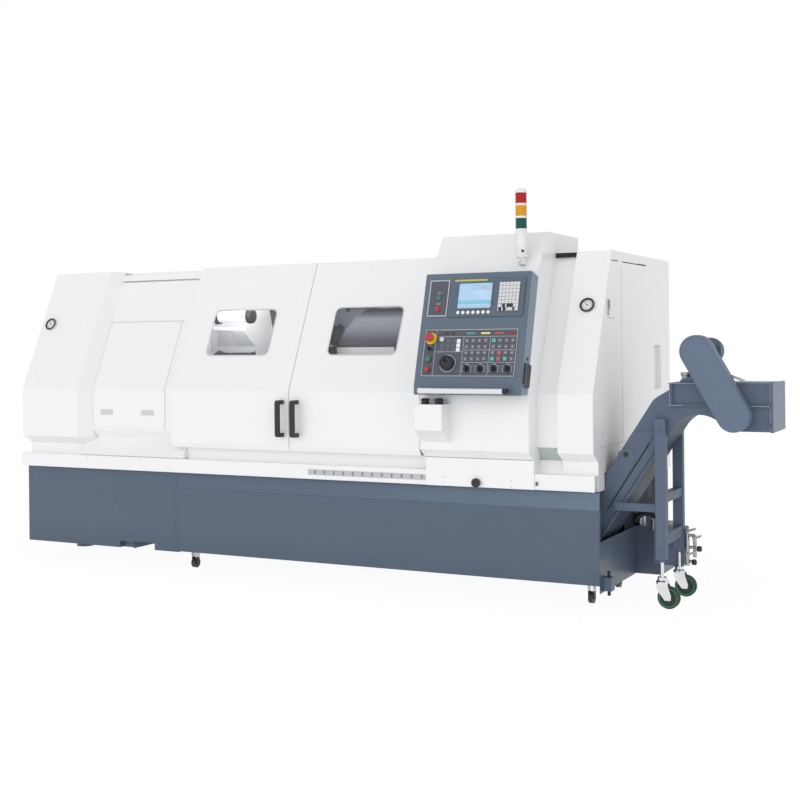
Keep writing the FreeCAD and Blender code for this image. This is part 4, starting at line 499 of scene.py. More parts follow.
def facing(x, y, z, out=(0.0, -1.0, 0.0), up=UP):
    """A place on the machine whose own axes look out of a face."""
    out = Vector(out).normalized()
    across = Vector(up).cross(out).normalized()
    return turned_to(spot(x, y, z), across, out.cross(across), out)


def upright(x, y, z):
    """A place on the machine whose third axis points up."""
    return turned_to(spot(x, y, z), ACROSS, BACK, UP)


RIGHT = (1.0, 0.0, 0.0)
FRONT = facing(0.0, 0.0, 0.0)
SIDE = facing(0.0, 0.0, 0.0, RIGHT)
STATION_FACE = on_station(0.0, 0.0)


# --------------------------------------------------------------------- pieces


def linked(name, data):
    """A new object in the scene."""
    item = bpy.data.objects.new(name, data)
    bpy.context.scene.collection.objects.link(item)
    return item


class Piece:
    """Solid forms gathered in place into one mesh."""

    def __init__(self):
        self.mesh = bmesh.new()

    def add(self, form, place):
        form.transform(Matrix.Scale(MM, 4))
        form.transform(place)
        data = bpy.data.meshes.new("form")
        form.to_mesh(data)
        form.free()
        self.mesh.from_mesh(data)
        bpy.data.meshes.remove(data)

    def plate(self, outline, low, high, place, rim=0.0):
        """A plate from an outline in millimetres, its front edge bevelled."""
        form = bmesh.new()
        face = form.faces.new([form.verts.new((x, y, low)) for x, y in outline])
        if polygon_area(outline) > 0:
            face.normal_flip()
        grown = bmesh.ops.extrude_face_region(form, geom=[face])
        top = [v for v in grown["geom"] if isinstance(v, bmesh.types.BMVert)]
        for vertex in top:
            vertex.co.z = high
        if rim:
            bmesh.ops.recalc_face_normals(form, faces=form.faces)
            edges = [e for e in form.edges if all(abs(v.co.z - high) < 1e-6 for v in e.verts)]
            bmesh.ops.bevel(form, geom=edges, offset=rim, segments=2, affect="EDGES")
        bmesh.ops.recalc_face_normals(form, faces=form.faces)
        self.add(form, place)

    def turn(self, profile, place, steps=32):
        """A turned form from a closed profile of (radius, height) points."""
        form = bmesh.new()
        rings = []
        for i in range(steps):
            angle = 2 * math.pi * i / steps
            rings.append([form.verts.new((r * math.cos(angle), r * math.sin(angle), z))
                          for r, z in profile])
        count = len(profile)
        for i in range(steps):
            here, beyond = rings[i], rings[(i + 1) % steps]
            for j in range(count):
                k = (j + 1) % count
                form.faces.new((here[j], beyond[j], beyond[k], here[k]))
        bmesh.ops.remove_doubles(form, verts=form.verts, dist=1e-6)
        bmesh.ops.recalc_face_normals(form, faces=form.faces)
        self.add(form, place)

    def frame(self, outer, inner, low, high, place):
        """A frame between two outlines of the same number of points."""
        form = bmesh.new()
        loops = [[form.verts.new((x, y, z)) for x, y in outline]
                 for outline, z in ((outer, low), (outer, high), (inner, high), (inner, low))]
        count = len(outer)
        for k in range(4):
            here, beyond = loops[k], loops[(k + 1) % 4]
            for i in range(count):
                j = (i + 1) % count
                form.faces.new((here[i], here[j], beyond[j], beyond[i]))
        bmesh.ops.recalc_face_normals(form, faces=form.faces)
        self.add(form, place)

    def finish(self, name, body, slot, finish):
        dress(name, self.data(name), body, finish)

    def data(self, name):
        """The gathered forms as plain mesh data."""
        data = bpy.data.meshes.new(name)
        self.mesh.to_mesh(data)
        self.mesh.free()
        return data


def dress(name, data, body, finish, smooth=True):
    """Make an object of mesh data, give it its finish and let it ride on its body."""
    item = linked(name, data)
    data.materials.clear()
    data.materials.append(finish)
    if smooth:
        data.shade_smooth()
        data.set_sharp_from_angle(angle=math.radians(35.0))
    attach(item, body)


def plate_piece(name, slot, finish, *plates, body="machine"):
    """A piece made of plates, each given as Piece.plate takes it."""
    piece = Piece()
    for plate in plates:
        piece.plate(*plate)
    piece.finish(name, body, slot, finish)


def turned_piece(name, slot, finish, *turns, body="machine"):
    """A piece made of turned forms, each given as Piece.turn takes it."""
    piece = Piece()
    for turn in turns:
        piece.turn(*turn)
    piece.finish(name, body, slot, finish)


def polygon_area(outline):
    return sum(a[0] * b[1] - b[0] * a[1] for a, b in zip(outline, outline[1:] + outline[:1])) / 2


def panel(left, low, wide, tall, radius=0.0, steps=5):
    """A rectangle's outline with rounded corners."""
    if radius <= 0:
        return [(left, low), (left + wide, low), (left + wide, low + tall), (left, low + tall)]
    corners = [(left + wide - radius, low + tall - radius, 0.0),
               (left + radius, low + tall - radius, 90.0),
               (left + radius, low + radius, 180.0),
               (left + wide - radius, low + radius, 270.0)]
    outline = []
    for x, y, start in corners:
        for i in range(steps + 1):
            angle = math.radians(start + 90.0 * i / steps)
            outline.append((x + radius * math.cos(angle), y + radius * math.sin(angle)))
    return outline


def centred(x, y, wide, tall, radius=0.0):
    """A rounded rectangle's outline about its middle."""
    return panel(x - wide / 2, y - tall / 2, wide, tall, radius)


def arc(radius, width, first, last, steps=24):
    """A band of an arc, from one angle to another in degrees."""
    angles = [math.radians(first + (last - first) * i / steps) for i in range(steps + 1)]
    outer = [(radius * math.cos(a), radius * math.sin(a)) for a in angles]
    inner = [((radius - width) * math.cos(a), (radius - width) * math.sin(a)) for a in angles]
    return outer + inner[::-1]


# ------------------------------------------------------- finishes of the trim


def glow(name, colour, strength, rough=0.2):
    """A small lit window or lamp cap with an uneven glow."""
    finish = Finish(name)
    spread = finish.noise(140.0, 2.0)
    body = finish.mix(spread, shade(colour, 0.8), shade(colour, 1.15))
    return finish.surface(body, rough + spread * 0.08, Coat_Weight=0.3, Emission_Color=body,
                          Emission_Strength=strength)


def station_axes(finish):
    """Distances across and up the control station's face, in millimetres."""
    across, back, up = finish.axes()
    rise = (up - STATION.z) * math.cos(TILT) + (back - STATION.y) * math.sin(TILT)
    return (across - STATION.x) * 1000, rise * 1000


def screen_picture():
    """The lit screen: pale blue with darker bands and a few rows of figures."""
    finish = Finish("screen_picture")
    u, v = station_axes(finish)
    cloud = finish.noise(9.0, 2.0)
    body = finish.mix(cloud, (0.28, 0.48, 0.68), (0.5, 0.62, 0.8))
    low_band = finish.step(v, 384.0, 388.0) * (1 - finish.step(v, 400.0, 414.0))
    body = finish.mix(low_band * 0.75, body, (0.1, 0.45, 0.55))
    top_band = finish.step(v, 486.0, 494.0)
    body = finish.mix(top_band * 0.7, body, (0.12, 0.5, 0.55))
    rows = ((v / 9.0).fraction() - 0.5).size() < 0.24
    letters = finish.noise(330.0, 0.0) > 0.52
    block = finish.step(u, 268.0, 270.0) * finish.step(v, 458.0, 460.0) * (v < 484.0) * (u < 368.0)
    foot = (v < 382.0) * finish.step(v, 370.0, 371.0) * finish.step(u, 200.0, 202.0)
    figures = rows * letters * block.larger(foot * 0.6)
    body = finish.mix(figures, body, (0.03, 0.06, 0.16))
    return finish.surface(body, 0.12 + cloud * 0.04, Coat_Weight=0.6, Emission_Color=body,
                          Emission_Strength=0.22)


KEYPAD_LEFT, KEYPAD_LOW = 414.0, 347.0
KEY_WIDE, KEY_TALL = 18.0, 18.5


def key_pad():
    """Light keys with a printed legend on each."""
    finish = Finish("key_legends")
    u, v = station_axes(finish)
    column = ((u - KEYPAD_LEFT) / KEY_WIDE).fraction()
    row = ((v - KEYPAD_LOW) / KEY_TALL).fraction()
    legend = ((column - 0.5).size() < 0.2) * ((row - 0.5).size() < 0.13)
    joint = ((column - 0.5).size() > 0.42).larger((row - 0.5).size() > 0.42)
    speck = finish.noise(700.0, 1.0)
    body = finish.mix(speck, (0.7, 0.7, 0.72), (0.84, 0.84, 0.85))
    body = finish.mix(legend * 0.5 * (speck > 0.45), body, (0.16, 0.16, 0.18))
    body = finish.mix(joint, body, (0.28, 0.28, 0.31))
    return finish.surface(body, 0.45 + speck * 0.1, Normal=finish.bump(speck, 0.00004, 0.4))


# the membrane keys stand in four groups, and three white ones to the left of them
GROUPS_LEFT, GROUPS_LOW = (270.0, 412.0), (168.0, 107.0)
BETWEEN_COLUMNS, BETWEEN_ROWS = 395.0, 153.0
WHITE_KEYS_RIGHT = 245.0
KEY_PITCH = 33.0
ROW_PITCH = KEY_PITCH * 0.94


def membrane_keys():
    """Dark keys with light rims and legends; the three upright ones are white."""
    finish = Finish("membrane_keys")
    u, v = station_axes(finish)
    speck = finish.noise(620.0, 1.0)
    left_group, right_group = GROUPS_LEFT
    high_group, low_group = GROUPS_LOW
    start = (u > BETWEEN_COLUMNS) * (right_group - left_group) + left_group
    column = ((u - start + KEY_PITCH / 2) / KEY_PITCH).fraction() - 0.5
    low_row = (v < BETWEEN_ROWS) * (high_group - low_group)
    row = ((v - high_group + low_row + ROW_PITCH / 2) / ROW_PITCH).fraction() - 0.5
    legend = (column.size() < 0.12) * (row.size() < 0.12) * (speck > 0.42)
    dark = finish.mix(speck, (0.1, 0.1, 0.125), (0.15, 0.15, 0.18))
    dark = finish.mix(legend, dark, (0.55, 0.56, 0.6))
    body = finish.mix(u < WHITE_KEYS_RIGHT, dark, (0.86, 0.87, 0.9))
    return finish.surface(body, 0.4 + speck * 0.12, Normal=finish.bump(speck, 0.00003, 0.4))


screen_glass = screen_picture()
key_legends = key_pad()
membrane = membrane_keys()
print_white = moulding("print_white", (0.5, 0.52, 0.57), 0.5)
cap_white = moulding("cap_white", (0.86, 0.87, 0.88), 0.4)
signal_yellow = moulding("signal_yellow", (0.85, 0.62, 0.03), 0.42)
strip_yellow = moulding("strip_yellow", (0.55, 0.48, 0.1), 0.45)
seal_rubber = moulding("seal_rubber", (0.09, 0.092, 0.1), 0.6, 500.0)
rim_grey = moulding("rim_grey", (0.24, 0.245, 0.28), 0.5)
jog_grey = moulding("jog_grey", (0.09, 0.09, 0.112), 0.5)
teal_glow = glow("teal_glow", (0.03, 0.3, 0.27), 0.35)
green_glow = glow("green_glow", (0.03, 0.42, 0.24), 0.4)
red_glow = glow("red_glow", (0.5, 0.05, 0.05), 0.35)
yellow_glow = glow("yellow_glow", (0.75, 0.65, 0.15), 0.4)
deep_red = glow("deep_red", (0.22, 0.008, 0.012), 0.15)
blue_cap = moulding("blue_cap", (0.03, 0.11, 0.3), 0.35)
paint("keypad", key_legends)
paint("panel_keys", membrane)

# ------------------------------------------------------------ control station

SCREEN_LEFT, SCREEN_LOW, SCREEN_WIDE, SCREEN_TALL = 195.0, 365.0, 180.0, 132.0
DISPLAY_FACE = 8.0
KEYPAD_FACE = 13.0
PLATE_FACE = 4.0
BEZEL_FACE = 8.0
ROTARY_COLUMNS = (281.0, 352.0, 423.0, 494.0)
ROTARY_LINE = 57.0


def on_plate(outline, proud, rim=0.0, sunk=0.2):
    """A thin plate on the operator plate, as Piece.plate takes it."""
    return outline, PLATE_FACE - sunk, PLATE_FACE + proud, STATION_FACE, rim


def line(u0, v0, u1, v1, width=2.0):
    """A printed line between two points of the operator plate."""
    left, low = min(u0, u1) - width / 2, min(v0, v1) - width / 2
    return on_plate(panel(left, low, abs(u1 - u0) + width, abs(v1 - v0) + width), 0.5, 0.0, 0.3)


plate_piece("screen_glass", "window_glass", screen_glass,
            (panel(SCREEN_LEFT + 1, SCREEN_LOW + 1, SCREEN_WIDE - 2, SCREEN_TALL - 2, 3.0),
             DISPLAY_FACE - 2.9, DISPLAY_FACE - 1.2, STATION_FACE, 0.5))

screen_frame = Piece()
screen_frame.frame(
    panel(SCREEN_LEFT - 9, SCREEN_LOW - 7, SCREEN_WIDE + 18, SCREEN_TALL + 13, 7.0),
    panel(SCREEN_LEFT, SCREEN_LOW, SCREEN_WIDE, SCREEN_TALL, 3.0),
    DISPLAY_FACE - 0.2, DISPLAY_FACE + 2.2, STATION_FACE)
screen_frame.finish("screen_frame", "machine", "station_paint", display_enamel)

turned_piece("soft_keys", "key_plastic", cap_white,
             *(([(0.0, 0.0), (9.0, 0.0), (9.0, 0.8), (7.4, 2.2), (0.0, 2.6)],
                on_station(SCREEN_LEFT + 10 + 27 * i, SCREEN_LOW - 22, DISPLAY_FACE + 2.7), 24)
               for i in range(7)))

plate_piece("yellow_strip", "key_plastic", strip_yellow,
            (panel(171.0, 505.0, 174.0, 10.0, 2.0), DISPLAY_FACE - 0.2, DISPLAY_FACE + 1.6,
             STATION_FACE, 0.6))

plate_piece("dark_keys", "key_plastic", black_moulding,
            *((panel(KEYPAD_LEFT + KEY_WIDE * column, KEYPAD_LOW + KEY_TALL * row + 1,
                     KEY_WIDE * wide - 2, 16.5, 2.0),
               KEYPAD_FACE, KEYPAD_FACE + 1.2, STATION_FACE, 0.4)
              for column, row, wide in ((0.3, 0, 1), (1.6, 0, 1), (4.4, 0, 0.6), (1.3, 1, 1),
                                        (2.6, 1, 2))))

plate_piece("switch_plate", "station_paint", plate_print,
            on_plate(panel(38.0, 332.0, 98.0, 180.0, 3.0), 0.8, 0.3))

borders = Piece()
borders.frame(panel(33.0, 327.0, 108.0, 190.0, 3.0), panel(38.5, 332.5, 97.0, 179.0, 3.0),
              PLATE_FACE - 0.2, PLATE_FACE + 1.3, STATION_FACE)
borders.frame(panel(38.0, 20.0, 494.0, 238.0, 2.0), panel(41.0, 23.0, 488.0, 232.0, 2.0),
              PLATE_FACE - 0.2, PLATE_FACE + 0.7, STATION_FACE)
for ends in ((108.0, 221.0, 530.0, 221.0), (100.0, 22.0, 100.0, 256.0),
             (250.0, 22.0, 250.0, 221.0), (391.0, 22.0, 391.0, 221.0),
             (250.0, BETWEEN_ROWS, 530.0, BETWEEN_ROWS), (250.0, 90.0, 530.0, 90.0),
             (100.0, 144.0, 250.0, 144.0)):
    borders.plate(*line(*ends))
borders.finish("plate_lines", "machine", "station_paint", print_white)

rings = Piece()
for u in ROTARY_COLUMNS:
    rings.plate(arc(25.0, 2.4, -40.0, 220.0), PLATE_FACE - 0.3, PLATE_FACE + 0.6,
                on_station(u, ROTARY_LINE))
rings.plate(arc(44.0, 3.5, -180.0, 179.9, 48), PLATE_FACE - 0.3, PLATE_FACE + 0.7,
            on_station(176.0, 85.0))
rings.finish("dial_rings", "machine", "key_plastic", print_white)

key_rims = Piece()
key_spots = [(left + KEY_PITCH * i, low + ROW_PITCH * j) for left in GROUPS_LEFT
             for low in GROUPS_LOW for i in range(4) for j in range(2)]
for u, v in key_spots:
    key_rims.frame(centred(u, v, 22.0, 22.0, 2.0), centred(u, v, 19.4, 19.4, 2.0),
                   PLATE_FACE, PLATE_FACE + 3.0, STATION_FACE)
jog_spots = [(136.0 + 32.0 * i, 154.0 + 23.0 * j) for i, j in
             ((0, 0), (1, 0), (2, 0), (0, 1), (1, 1), (2, 1), (1, 2), (2, 2))]
for u, v in jog_spots:
    key_rims.frame(centred(u, v, 18.0, 16.0, 2.0), centred(u, v, 16.0, 14.0, 2.0),
                   PLATE_FACE - 0.2, PLATE_FACE + 1.0, STATION_FACE)
plate_piece("jog_keys", "key_plastic", jog_grey,
            *(on_plate(centred(u, v, 15.6, 13.6, 1.5), 0.8, 0.3) for u, v in jog_spots))
plate_piece("jog_marks", "key_plastic", rim_grey,
            *(on_plate(centred(u, v, 6.0, 4.4), 1.0, 0.0, -0.6) for u, v in jog_spots))
key_rims.finish("key_rims", "machine", "key_plastic", rim_grey)
plate_piece("first_signs", "black_plastic", black_moulding,
            *(on_plate(panel(u, 232.0, 8.0, 11.0, 1.0), 0.9, 0.2)
              for u in (146.0, 157.0, 181.0, 192.0)))

for name, finish, keys in (
        ("green_keys", green_glow, ((412.0, 199.0), (412.0, 107.0), (478.0, 107.0))),
        ("red_keys", red_glow, ((445.0, 138.0), (445.0, 107.0)))):
    plate_piece(name, "key_plastic", finish,
                *(on_plate(centred(u, v, 17.0, 17.0, 2.0), 5.4, 0.5, -4.2) for u, v in keys))

for name, first, finish in (("teal_signs", 262.0, teal_glow), ("yellow_signs", 340.0, yellow_glow),
                            ("red_signs", 414.0, red_glow), ("dark_red_signs", 480.0, deep_red)):
    plate_piece(name, "key_plastic", finish,
                *(on_plate(panel(first + 9.5 * i, 233.0, 7.5, 9.0, 1.0), 0.9, 0.2)
                  for i in range(5)))

turned_piece("stop_ring", "key_plastic", signal_yellow,
             ([(12.0, 0.0), (30.2, 0.0), (30.2, 0.2), (30.0, 0.6), (12.0, 0.6)],
              on_station(74.0, 212.0, BEZEL_FACE), 48))


def beside_station(across, up=0.0, depth=0.0):
    """A place that looks out of the station's right side, in millimetres."""
    origin = STATION + ACROSS * (across * MM) + UP_FACE * (up * MM) - OUT * (depth * MM)
    return turned_to(origin, -OUT, UP_FACE, ACROSS)


plate_piece("port_cover", "black_plastic", black_moulding,
            (panel(19.0, -17.0, 62.0, 114.0, 8.0), -12.0, 0.4, beside_station(583.5), 3.0))
turned_piece("side_button", "key_plastic", blue_cap,
             ([(0.0, 0.0), (9.0, 0.0), (9.0, 3.0), (7.0, 5.0), (0.0, 5.6)],
              beside_station(569.9, 122.0, 50.0), 24))


def evaluated(source, place):
    """The mesh that an object comes to, put in place; the object goes."""
    source.update_tag()
    graph = bpy.context.evaluated_depsgraph_get()
    data = bpy.data.meshes.new_from_object(source.evaluated_get(graph))
    source.modifiers.clear()
    bpy.data.objects.remove(source)
    data.transform(place)
    return data


def word(name, text, tall, place):
    """Plain lettering as a thin solid on the machine."""
    curve = bpy.data.curves.new(name, "FONT")
    curve.body = text
    curve.size = tall * MM
    curve.extrude = 0.2 * MM
    curve.align_x = "CENTER"
    curve.align_y = "CENTER"
    data = evaluated(linked(name + "_text", curve), place)
    data.name = name
    dress(name, data, "machine", print_white, False)


word("on_word", "ON", 13.0, on_station(89.0, 450.0, PLATE_FACE + 1.0))
word("off_word", "OFF", 13.0, on_station(89.0, 391.0, PLATE_FACE + 1.0))
for u in ROTARY_COLUMNS:
    for number, angle in (("0", 200.0), ("50", 150.0), ("100", 90.0), ("150", 30.0)):
        turn = math.radians(angle)
        word(f"dial_{number}_{int(u)}", number, 6.5,
             on_station(u + 31.0 * math.cos(turn), ROTARY_LINE + 27.0 * math.sin(turn),
                        PLATE_FACE))

# ----------------------------------------------------------- repeated forms


def modifier_mesh(group, values, place):
    """Evaluate a node group on an empty mesh and return the result in place."""
    holder = linked("holder", bpy.data.meshes.new("copies"))
    modifier = holder.modifiers.new("copies", "NODES")
    modifier.node_group = group
    for item in group.interface.items_tree:
        if item.in_out == "INPUT" and item.name in values:
            modifier[item.identifier] = values[item.name]
    return evaluated(holder, place)


def named_group(name, inputs):
    """A geometry tree and its named inputs."""
    group = bpy.data.node_groups.new(name, "GeometryNodeTree")
    add = group.interface.new_socket
    add("Geometry", in_out="OUTPUT", socket_type="NodeSocketGeometry")
    for key, kind in inputs.items():
        add(key, in_out="INPUT", socket_type="NodeSocket" + kind)
    tree = Tree(group)
    return tree, dict(zip(inputs, tree.outputs(inputs, "NodeGroupInput")))


def copies_on(tree, given, points, **turned):
    """Put the form on each point, make it real and painted, and end the tree."""
    form = tree.node("GeometryNodeObjectInfo", {}, {"Object": given["Form"]}, "Geometry")
    copies = tree.node("GeometryNodeInstanceOnPoints", {},
                       {"Points": points, "Instance": form, **turned})
    whole = tree.node("GeometryNodeRealizeInstances", {}, {"Geometry": copies})
    painted = tree.node("GeometryNodeSetMaterial", {},
                        {"Geometry": whole, "Material": given["Finish"]})
    tree.node("NodeGroupOutput", {}, {0: painted}, None)
    return tree.tree


def repeat_group():
    """Copies of an object on a grid of rows and columns."""
    tree, given = named_group("grid_of_copies", {
        "Form": "Object", "Columns": "Int", "Rows": "Int", "Column Step": "Vector",
        "Row Step": "Vector", "Finish": "Material"})
    columns = tree.node("GeometryNodeMeshLine", {},
                        {"Count": given["Columns"], "Offset": given["Column Step"]})
    rows = tree.node("GeometryNodeMeshLine", {},
                     {"Count": given["Rows"], "Offset": given["Row Step"]})
    spread = tree.node("GeometryNodeInstanceOnPoints", {}, {"Points": rows, "Instance": columns})
    points = tree.node("GeometryNodeRealizeInstances", {}, {"Geometry": spread})
    return copies_on(tree, given, points)


def ring_group():
    """Copies of an object round a circle, each turned to face outwards."""
    tree, given = named_group("ring_of_copies", {
        "Form": "Object", "Count": "Int", "Radius": "Float", "Finish": "Material"})
    circle = tree.node("GeometryNodeMeshCircle", {},
                       {"Vertices": given["Count"], "Radius": given["Radius"]})
    turned = tree.node("FunctionNodeAlignRotationToVector", {"axis": "Y", "pivot_axis": "Z"},
                       {"Vector": tree.node("GeometryNodeInputPosition")})
    return copies_on(tree, given, circle, Rotation=turned)


grid_of_copies = repeat_group()
ring_of_copies = ring_group()


def form_object(piece):
    """An object that holds one form about the origin until its copies are made."""
    return linked("form", piece.data("form"))


def drop_form(form):
    data = form.data
    bpy.data.objects.remove(form)
    bpy.data.meshes.remove(data)


def gather(name, finish, meshes, smooth=True):
    """One fixed piece from several meshes that are already in place."""
    whole = bmesh.new()
    for data in meshes:
        whole.from_mesh(data)
        bpy.data.meshes.remove(data)
    data = bpy.data.meshes.new(name)
    whole.to_mesh(data)
    whole.free()
    dress(name, data, "machine", finish, smooth)


def grid(form, columns, step, place, finish, rows=1, row_step=(0.0, 0.0, 0.0)):
    values = {"Form": form, "Columns": columns, "Rows": rows, "Finish": finish,
              "Column Step": [value * MM for value in step],
              "Row Step": [value * MM for value in row_step]}
    return modifier_mesh(grid_of_copies, values, place)


def ring(form, count, radius, place, finish):
    values = {"Form": form, "Count": count, "Radius": radius * MM, "Finish": finish}
    return modifier_mesh(ring_of_copies, values, place)


HERE = Matrix.Identity(4)

# ------------------------------------------------------------------ enclosure

# the doors' leaning face starts here and runs back over its height
LEAN_Y, LEAN_Z = -45.0, 1018.0
LEAN_RUN, LEAN_RISE = 317.0, 706.0
LEAN = math.atan2(LEAN_RUN, LEAN_RISE)
LEAN_UP = Vector((0.0, math.sin(LEAN), math.cos(LEAN)))
LEAN_OUT = Vector((0.0, -math.cos(LEAN), math.sin(LEAN)))
# how far the headstock cover stands behind the doors
COVER_BACK = 57.0
COVER_FACE = facing(0.0, 12.0, 0.0)


def on_lean(x, height, behind=0.0):
    """A place on the leaning front, its own axes across, up the face and out."""
    y = LEAN_Y + behind + (height - LEAN_Z) * LEAN_RUN / LEAN_RISE
    return turned_to(spot(x, y, height), ACROSS, LEAN_UP, LEAN_OUT)


def up_lean(x, along):
    """A place on the leaning front at a distance up the face."""
    origin = spot(x, LEAN_Y + along * math.sin(LEAN), LEAN_Z + along * math.cos(LEAN))
    return turned_to(origin, ACROSS, LEAN_UP, LEAN_OUT)


pale_dial = moulding("pale_dial", (0.78, 0.79, 0.8), 0.4)
shadow_black = moulding("shadow_black", (0.012, 0.012, 0.014), 0.7)
pull_grey = enamel("pull_grey", (0.62, 0.635, 0.65), 0.45)
undercut_grey = enamel("undercut_grey", (0.47, 0.525, 0.515), 0.5)
liner_white = enamel("liner_white", (0.72, 0.73, 0.75), 0.5)
liner_grey = enamel("liner_grey", (0.52, 0.53, 0.55), 0.5)
brace_grey = enamel("brace_grey", (0.43, 0.44, 0.46), 0.5)
guard_blue = enamel("guard_blue", (0.44, 0.455, 0.53), 0.45)
olive_casting = casting("olive_casting", (0.045, 0.052, 0.042))
tyre_green = moulding("tyre_green", (0.01, 0.16, 0.06), 0.4)
hub_green = moulding("hub_green", (0.03, 0.06, 0.045), 0.5)
shroud_grey = enamel("shroud_grey", (0.026, 0.036, 0.05), 0.6, shine=0.05)
mesh_grey = moulding("mesh_grey", (0.24, 0.245, 0.255), 0.6)
lock_grey = metal("lock_grey", (0.16, 0.165, 0.175), 0.45)
tool_grey = casting("tool_grey", (0.035, 0.036, 0.045))

WINDOW_TALL = 254.0 / math.cos(LEAN)
for name, body, left in (("left_window_seal", "left_door", -2304.0),
                         ("right_window_seal", "right_door", -1510.0)):
    seal = Piece()
    seal.frame(panel(-5.0, -5.0, 422.0, WINDOW_TALL + 10.0, 37.0),
               panel(2.0, 2.0, 408.0, WINDOW_TALL - 4.0, 30.0), -0.2, 1.8,
               on_lean(left, 1212.0))
    seal.finish(name, body, "rubber", pull_grey)

# painted shade: grey plates in the recesses of the finger pulls
plate_piece("finger_pulls", "white_paint", pull_grey,
            *((panel(x, 868.0, 88.0, 30.0, 3.0), -1.1, -0.3, COVER_FACE, 0.3)
              for x in (-3041.0, -2743.0)))

# foot of the left cover's slanted return
foot = Piece()
wedge = bmesh.new()
left_end = [(-3170.2, -44.6, 735.0), (-3170.2, 28.6, 690.0), (-3170.2, 54.0, 735.0)]
right_end = [(-3105.4, 13.6, 735.0), (-3105.4, 46.0, 729.0), (-3105.4, 54.0, 735.0)]
loops = [[wedge.verts.new(point) for point in loop] for loop in (left_end, right_end)]
for i in range(3):
    j = (i + 1) % 3
    wedge.faces.new((loops[0][i], loops[0][j], loops[1][j], loops[1][i]))
for loop in loops:
    wedge.faces.new(loop)
bmesh.ops.recalc_face_normals(wedge, faces=wedge.faces)
foot.add(wedge, Matrix.Translation(CORNER))
foot.plate([(15.0, 780.0), (15.0, 735.0), (54.0, 735.0)], -3107.0, -3104.6, SIDE)
foot.plate(panel(-2447.0, 626.2, 21.0, 6.0), -12.0, 22.6, FRONT)
foot.finish("return_foot", "machine", "white_paint", white_enamel)

plate_piece("cover_seams", "white_paint", pull_grey,
            (panel(-3168.0, 626.0, 740.0, 5.8), 20.0, 22.8, FRONT),
            (panel(0.0, 0.0, 608.0, 9.0), -5.0, -1.5, on_lean(-3100.0, 1655.0, 60.0)))
PANEL_LEFT, PANEL_RIGHT = -3097.2, -2575.4
panel_edges = [(panel(PANEL_LEFT, 790.8, 523.4, 1.6), -12.6, -11.0, FRONT)]
for x in (PANEL_LEFT, PANEL_RIGHT):
    panel_edges += [
        (panel(x, 792.0, 1.8, 226.0), -12.8, -11.4, FRONT),
        (panel(0.0, 0.0, 1.8, 431.0), -0.2, 1.0, on_lean(x, LEAN_Z, COVER_BACK))]
plate_piece("panel_edges", "white_paint", liner_white, *panel_edges)
plate_piece("panel_top_edge", "white_paint", liner_grey,
            (panel(-10.0, 0.0, 543.0, 3.4), -2.6, 0.8, on_lean(-3096.0, 1411.6, COVER_BACK)))

head = Piece()
head.turn([(0.0, -0.5), (4.5, -0.5), (4.5, 0.4), (3.6, 1.6), (1.35, 2.1), (0.99, 1.4),
           (0.0, 1.2)], HERE, 20)
screw = form_object(head)
heads = [grid(screw, columns, step, place, bright_plate, rows, row_step)
         for columns, step, place, rows, row_step in (
             (2, (494.0, 0.0, 0.0), facing(-3082.0, 11.9, 806.0), 2, (0.0, 206.0, 0.0)),
             (2, (494.0, 0.0, 0.0), on_lean(-3082.0, 1396.0, COVER_BACK), 1, (0.0, 0.0, 0.0)),
             (2, (370.0, -5.0, 0.0), facing(-792.0, -38.1, 596.0), 2, (0.0, -30.0, 0.0)),
             (2, (394.0, -5.0, 0.0), facing(-3115.0, -29.1, 618.0), 1, (0.0, 0.0, 0.0)))]
for place in (facing(0.1, 100.0, 640.0, RIGHT), facing(0.1, 1325.0, 640.0, RIGHT),
              facing(-3600.1, 1325.0, 640.0, (-1.0, 0.0, 0.0))):
    heads.append(grid(screw, 6, (0.0, 190.0, 0.0), place, bright_plate))
gather("cover_screws", bright_plate, heads)
drop_form(screw)

LOCK = facing(-290.0, -38.0, 582.0)
plate_piece("panel_lock", "chrome", lock_grey,
            (centred(0.0, 0.0, 10.0, 20.0, 4.8), -0.5, 3.0, LOCK, 0.8),
            (centred(0.0, 0.0, 2.8, 12.0, 1.0), 2.8, 3.6, LOCK))
# painted shade: a grey plate on the filler strip's down-facing undercut
plate_piece("strip_undercut", "white_paint", undercut_grey,
            (panel(0.0, 0.0, 118.0, 78.0, 1.0), 0.1, 1.2,
             facing(-301.0, 55.0, 690.5, (0.0, -0.83, -0.557), (0.0, -0.557, 0.83))))

BAND_Y = -29.0
plate_piece("band_grille", "white_paint", liner_grey,
            (panel(-1593.0, 574.0, 716.0, 30.0, 1.0), -0.4, 0.9, facing(0.0, BAND_Y, 0.0)))
dot = Piece()
dot.plate(centred(0.0, 0.0, 11.0, 20.0, 2.5), 0.7, 1.3, HERE)
dot = form_object(dot)
gather("band_perforation", mesh_grey,
       [grid(dot, 12, (57.5, 0.0, 0.0), facing(-1548.0, BAND_Y, 590.0), mesh_grey)], False)
drop_form(dot)

plate_piece("side_latch", "chrome", zinc_plate,
            (panel(198.0, 1398.0, 15.0, 82.0, 5.0), -0.5, 5.0, SIDE, 1.5),
            (panel(202.0, 1430.0, 8.0, 44.0, 3.0), 4.5, 10.0, SIDE, 1.5),
            (panel(192.0, 1385.0, 108.0, 3.0), -0.5, 1.5, SIDE))
plate_piece("side_joints", "white_paint", pull_grey,
            (panel(427.5, 760.0, 3.0, 890.0), -0.4, 1.2, SIDE, 0.6),
            (panel(60.0, 757.0, 1240.0, 2.4), -0.4, 0.8, SIDE, 0.4))
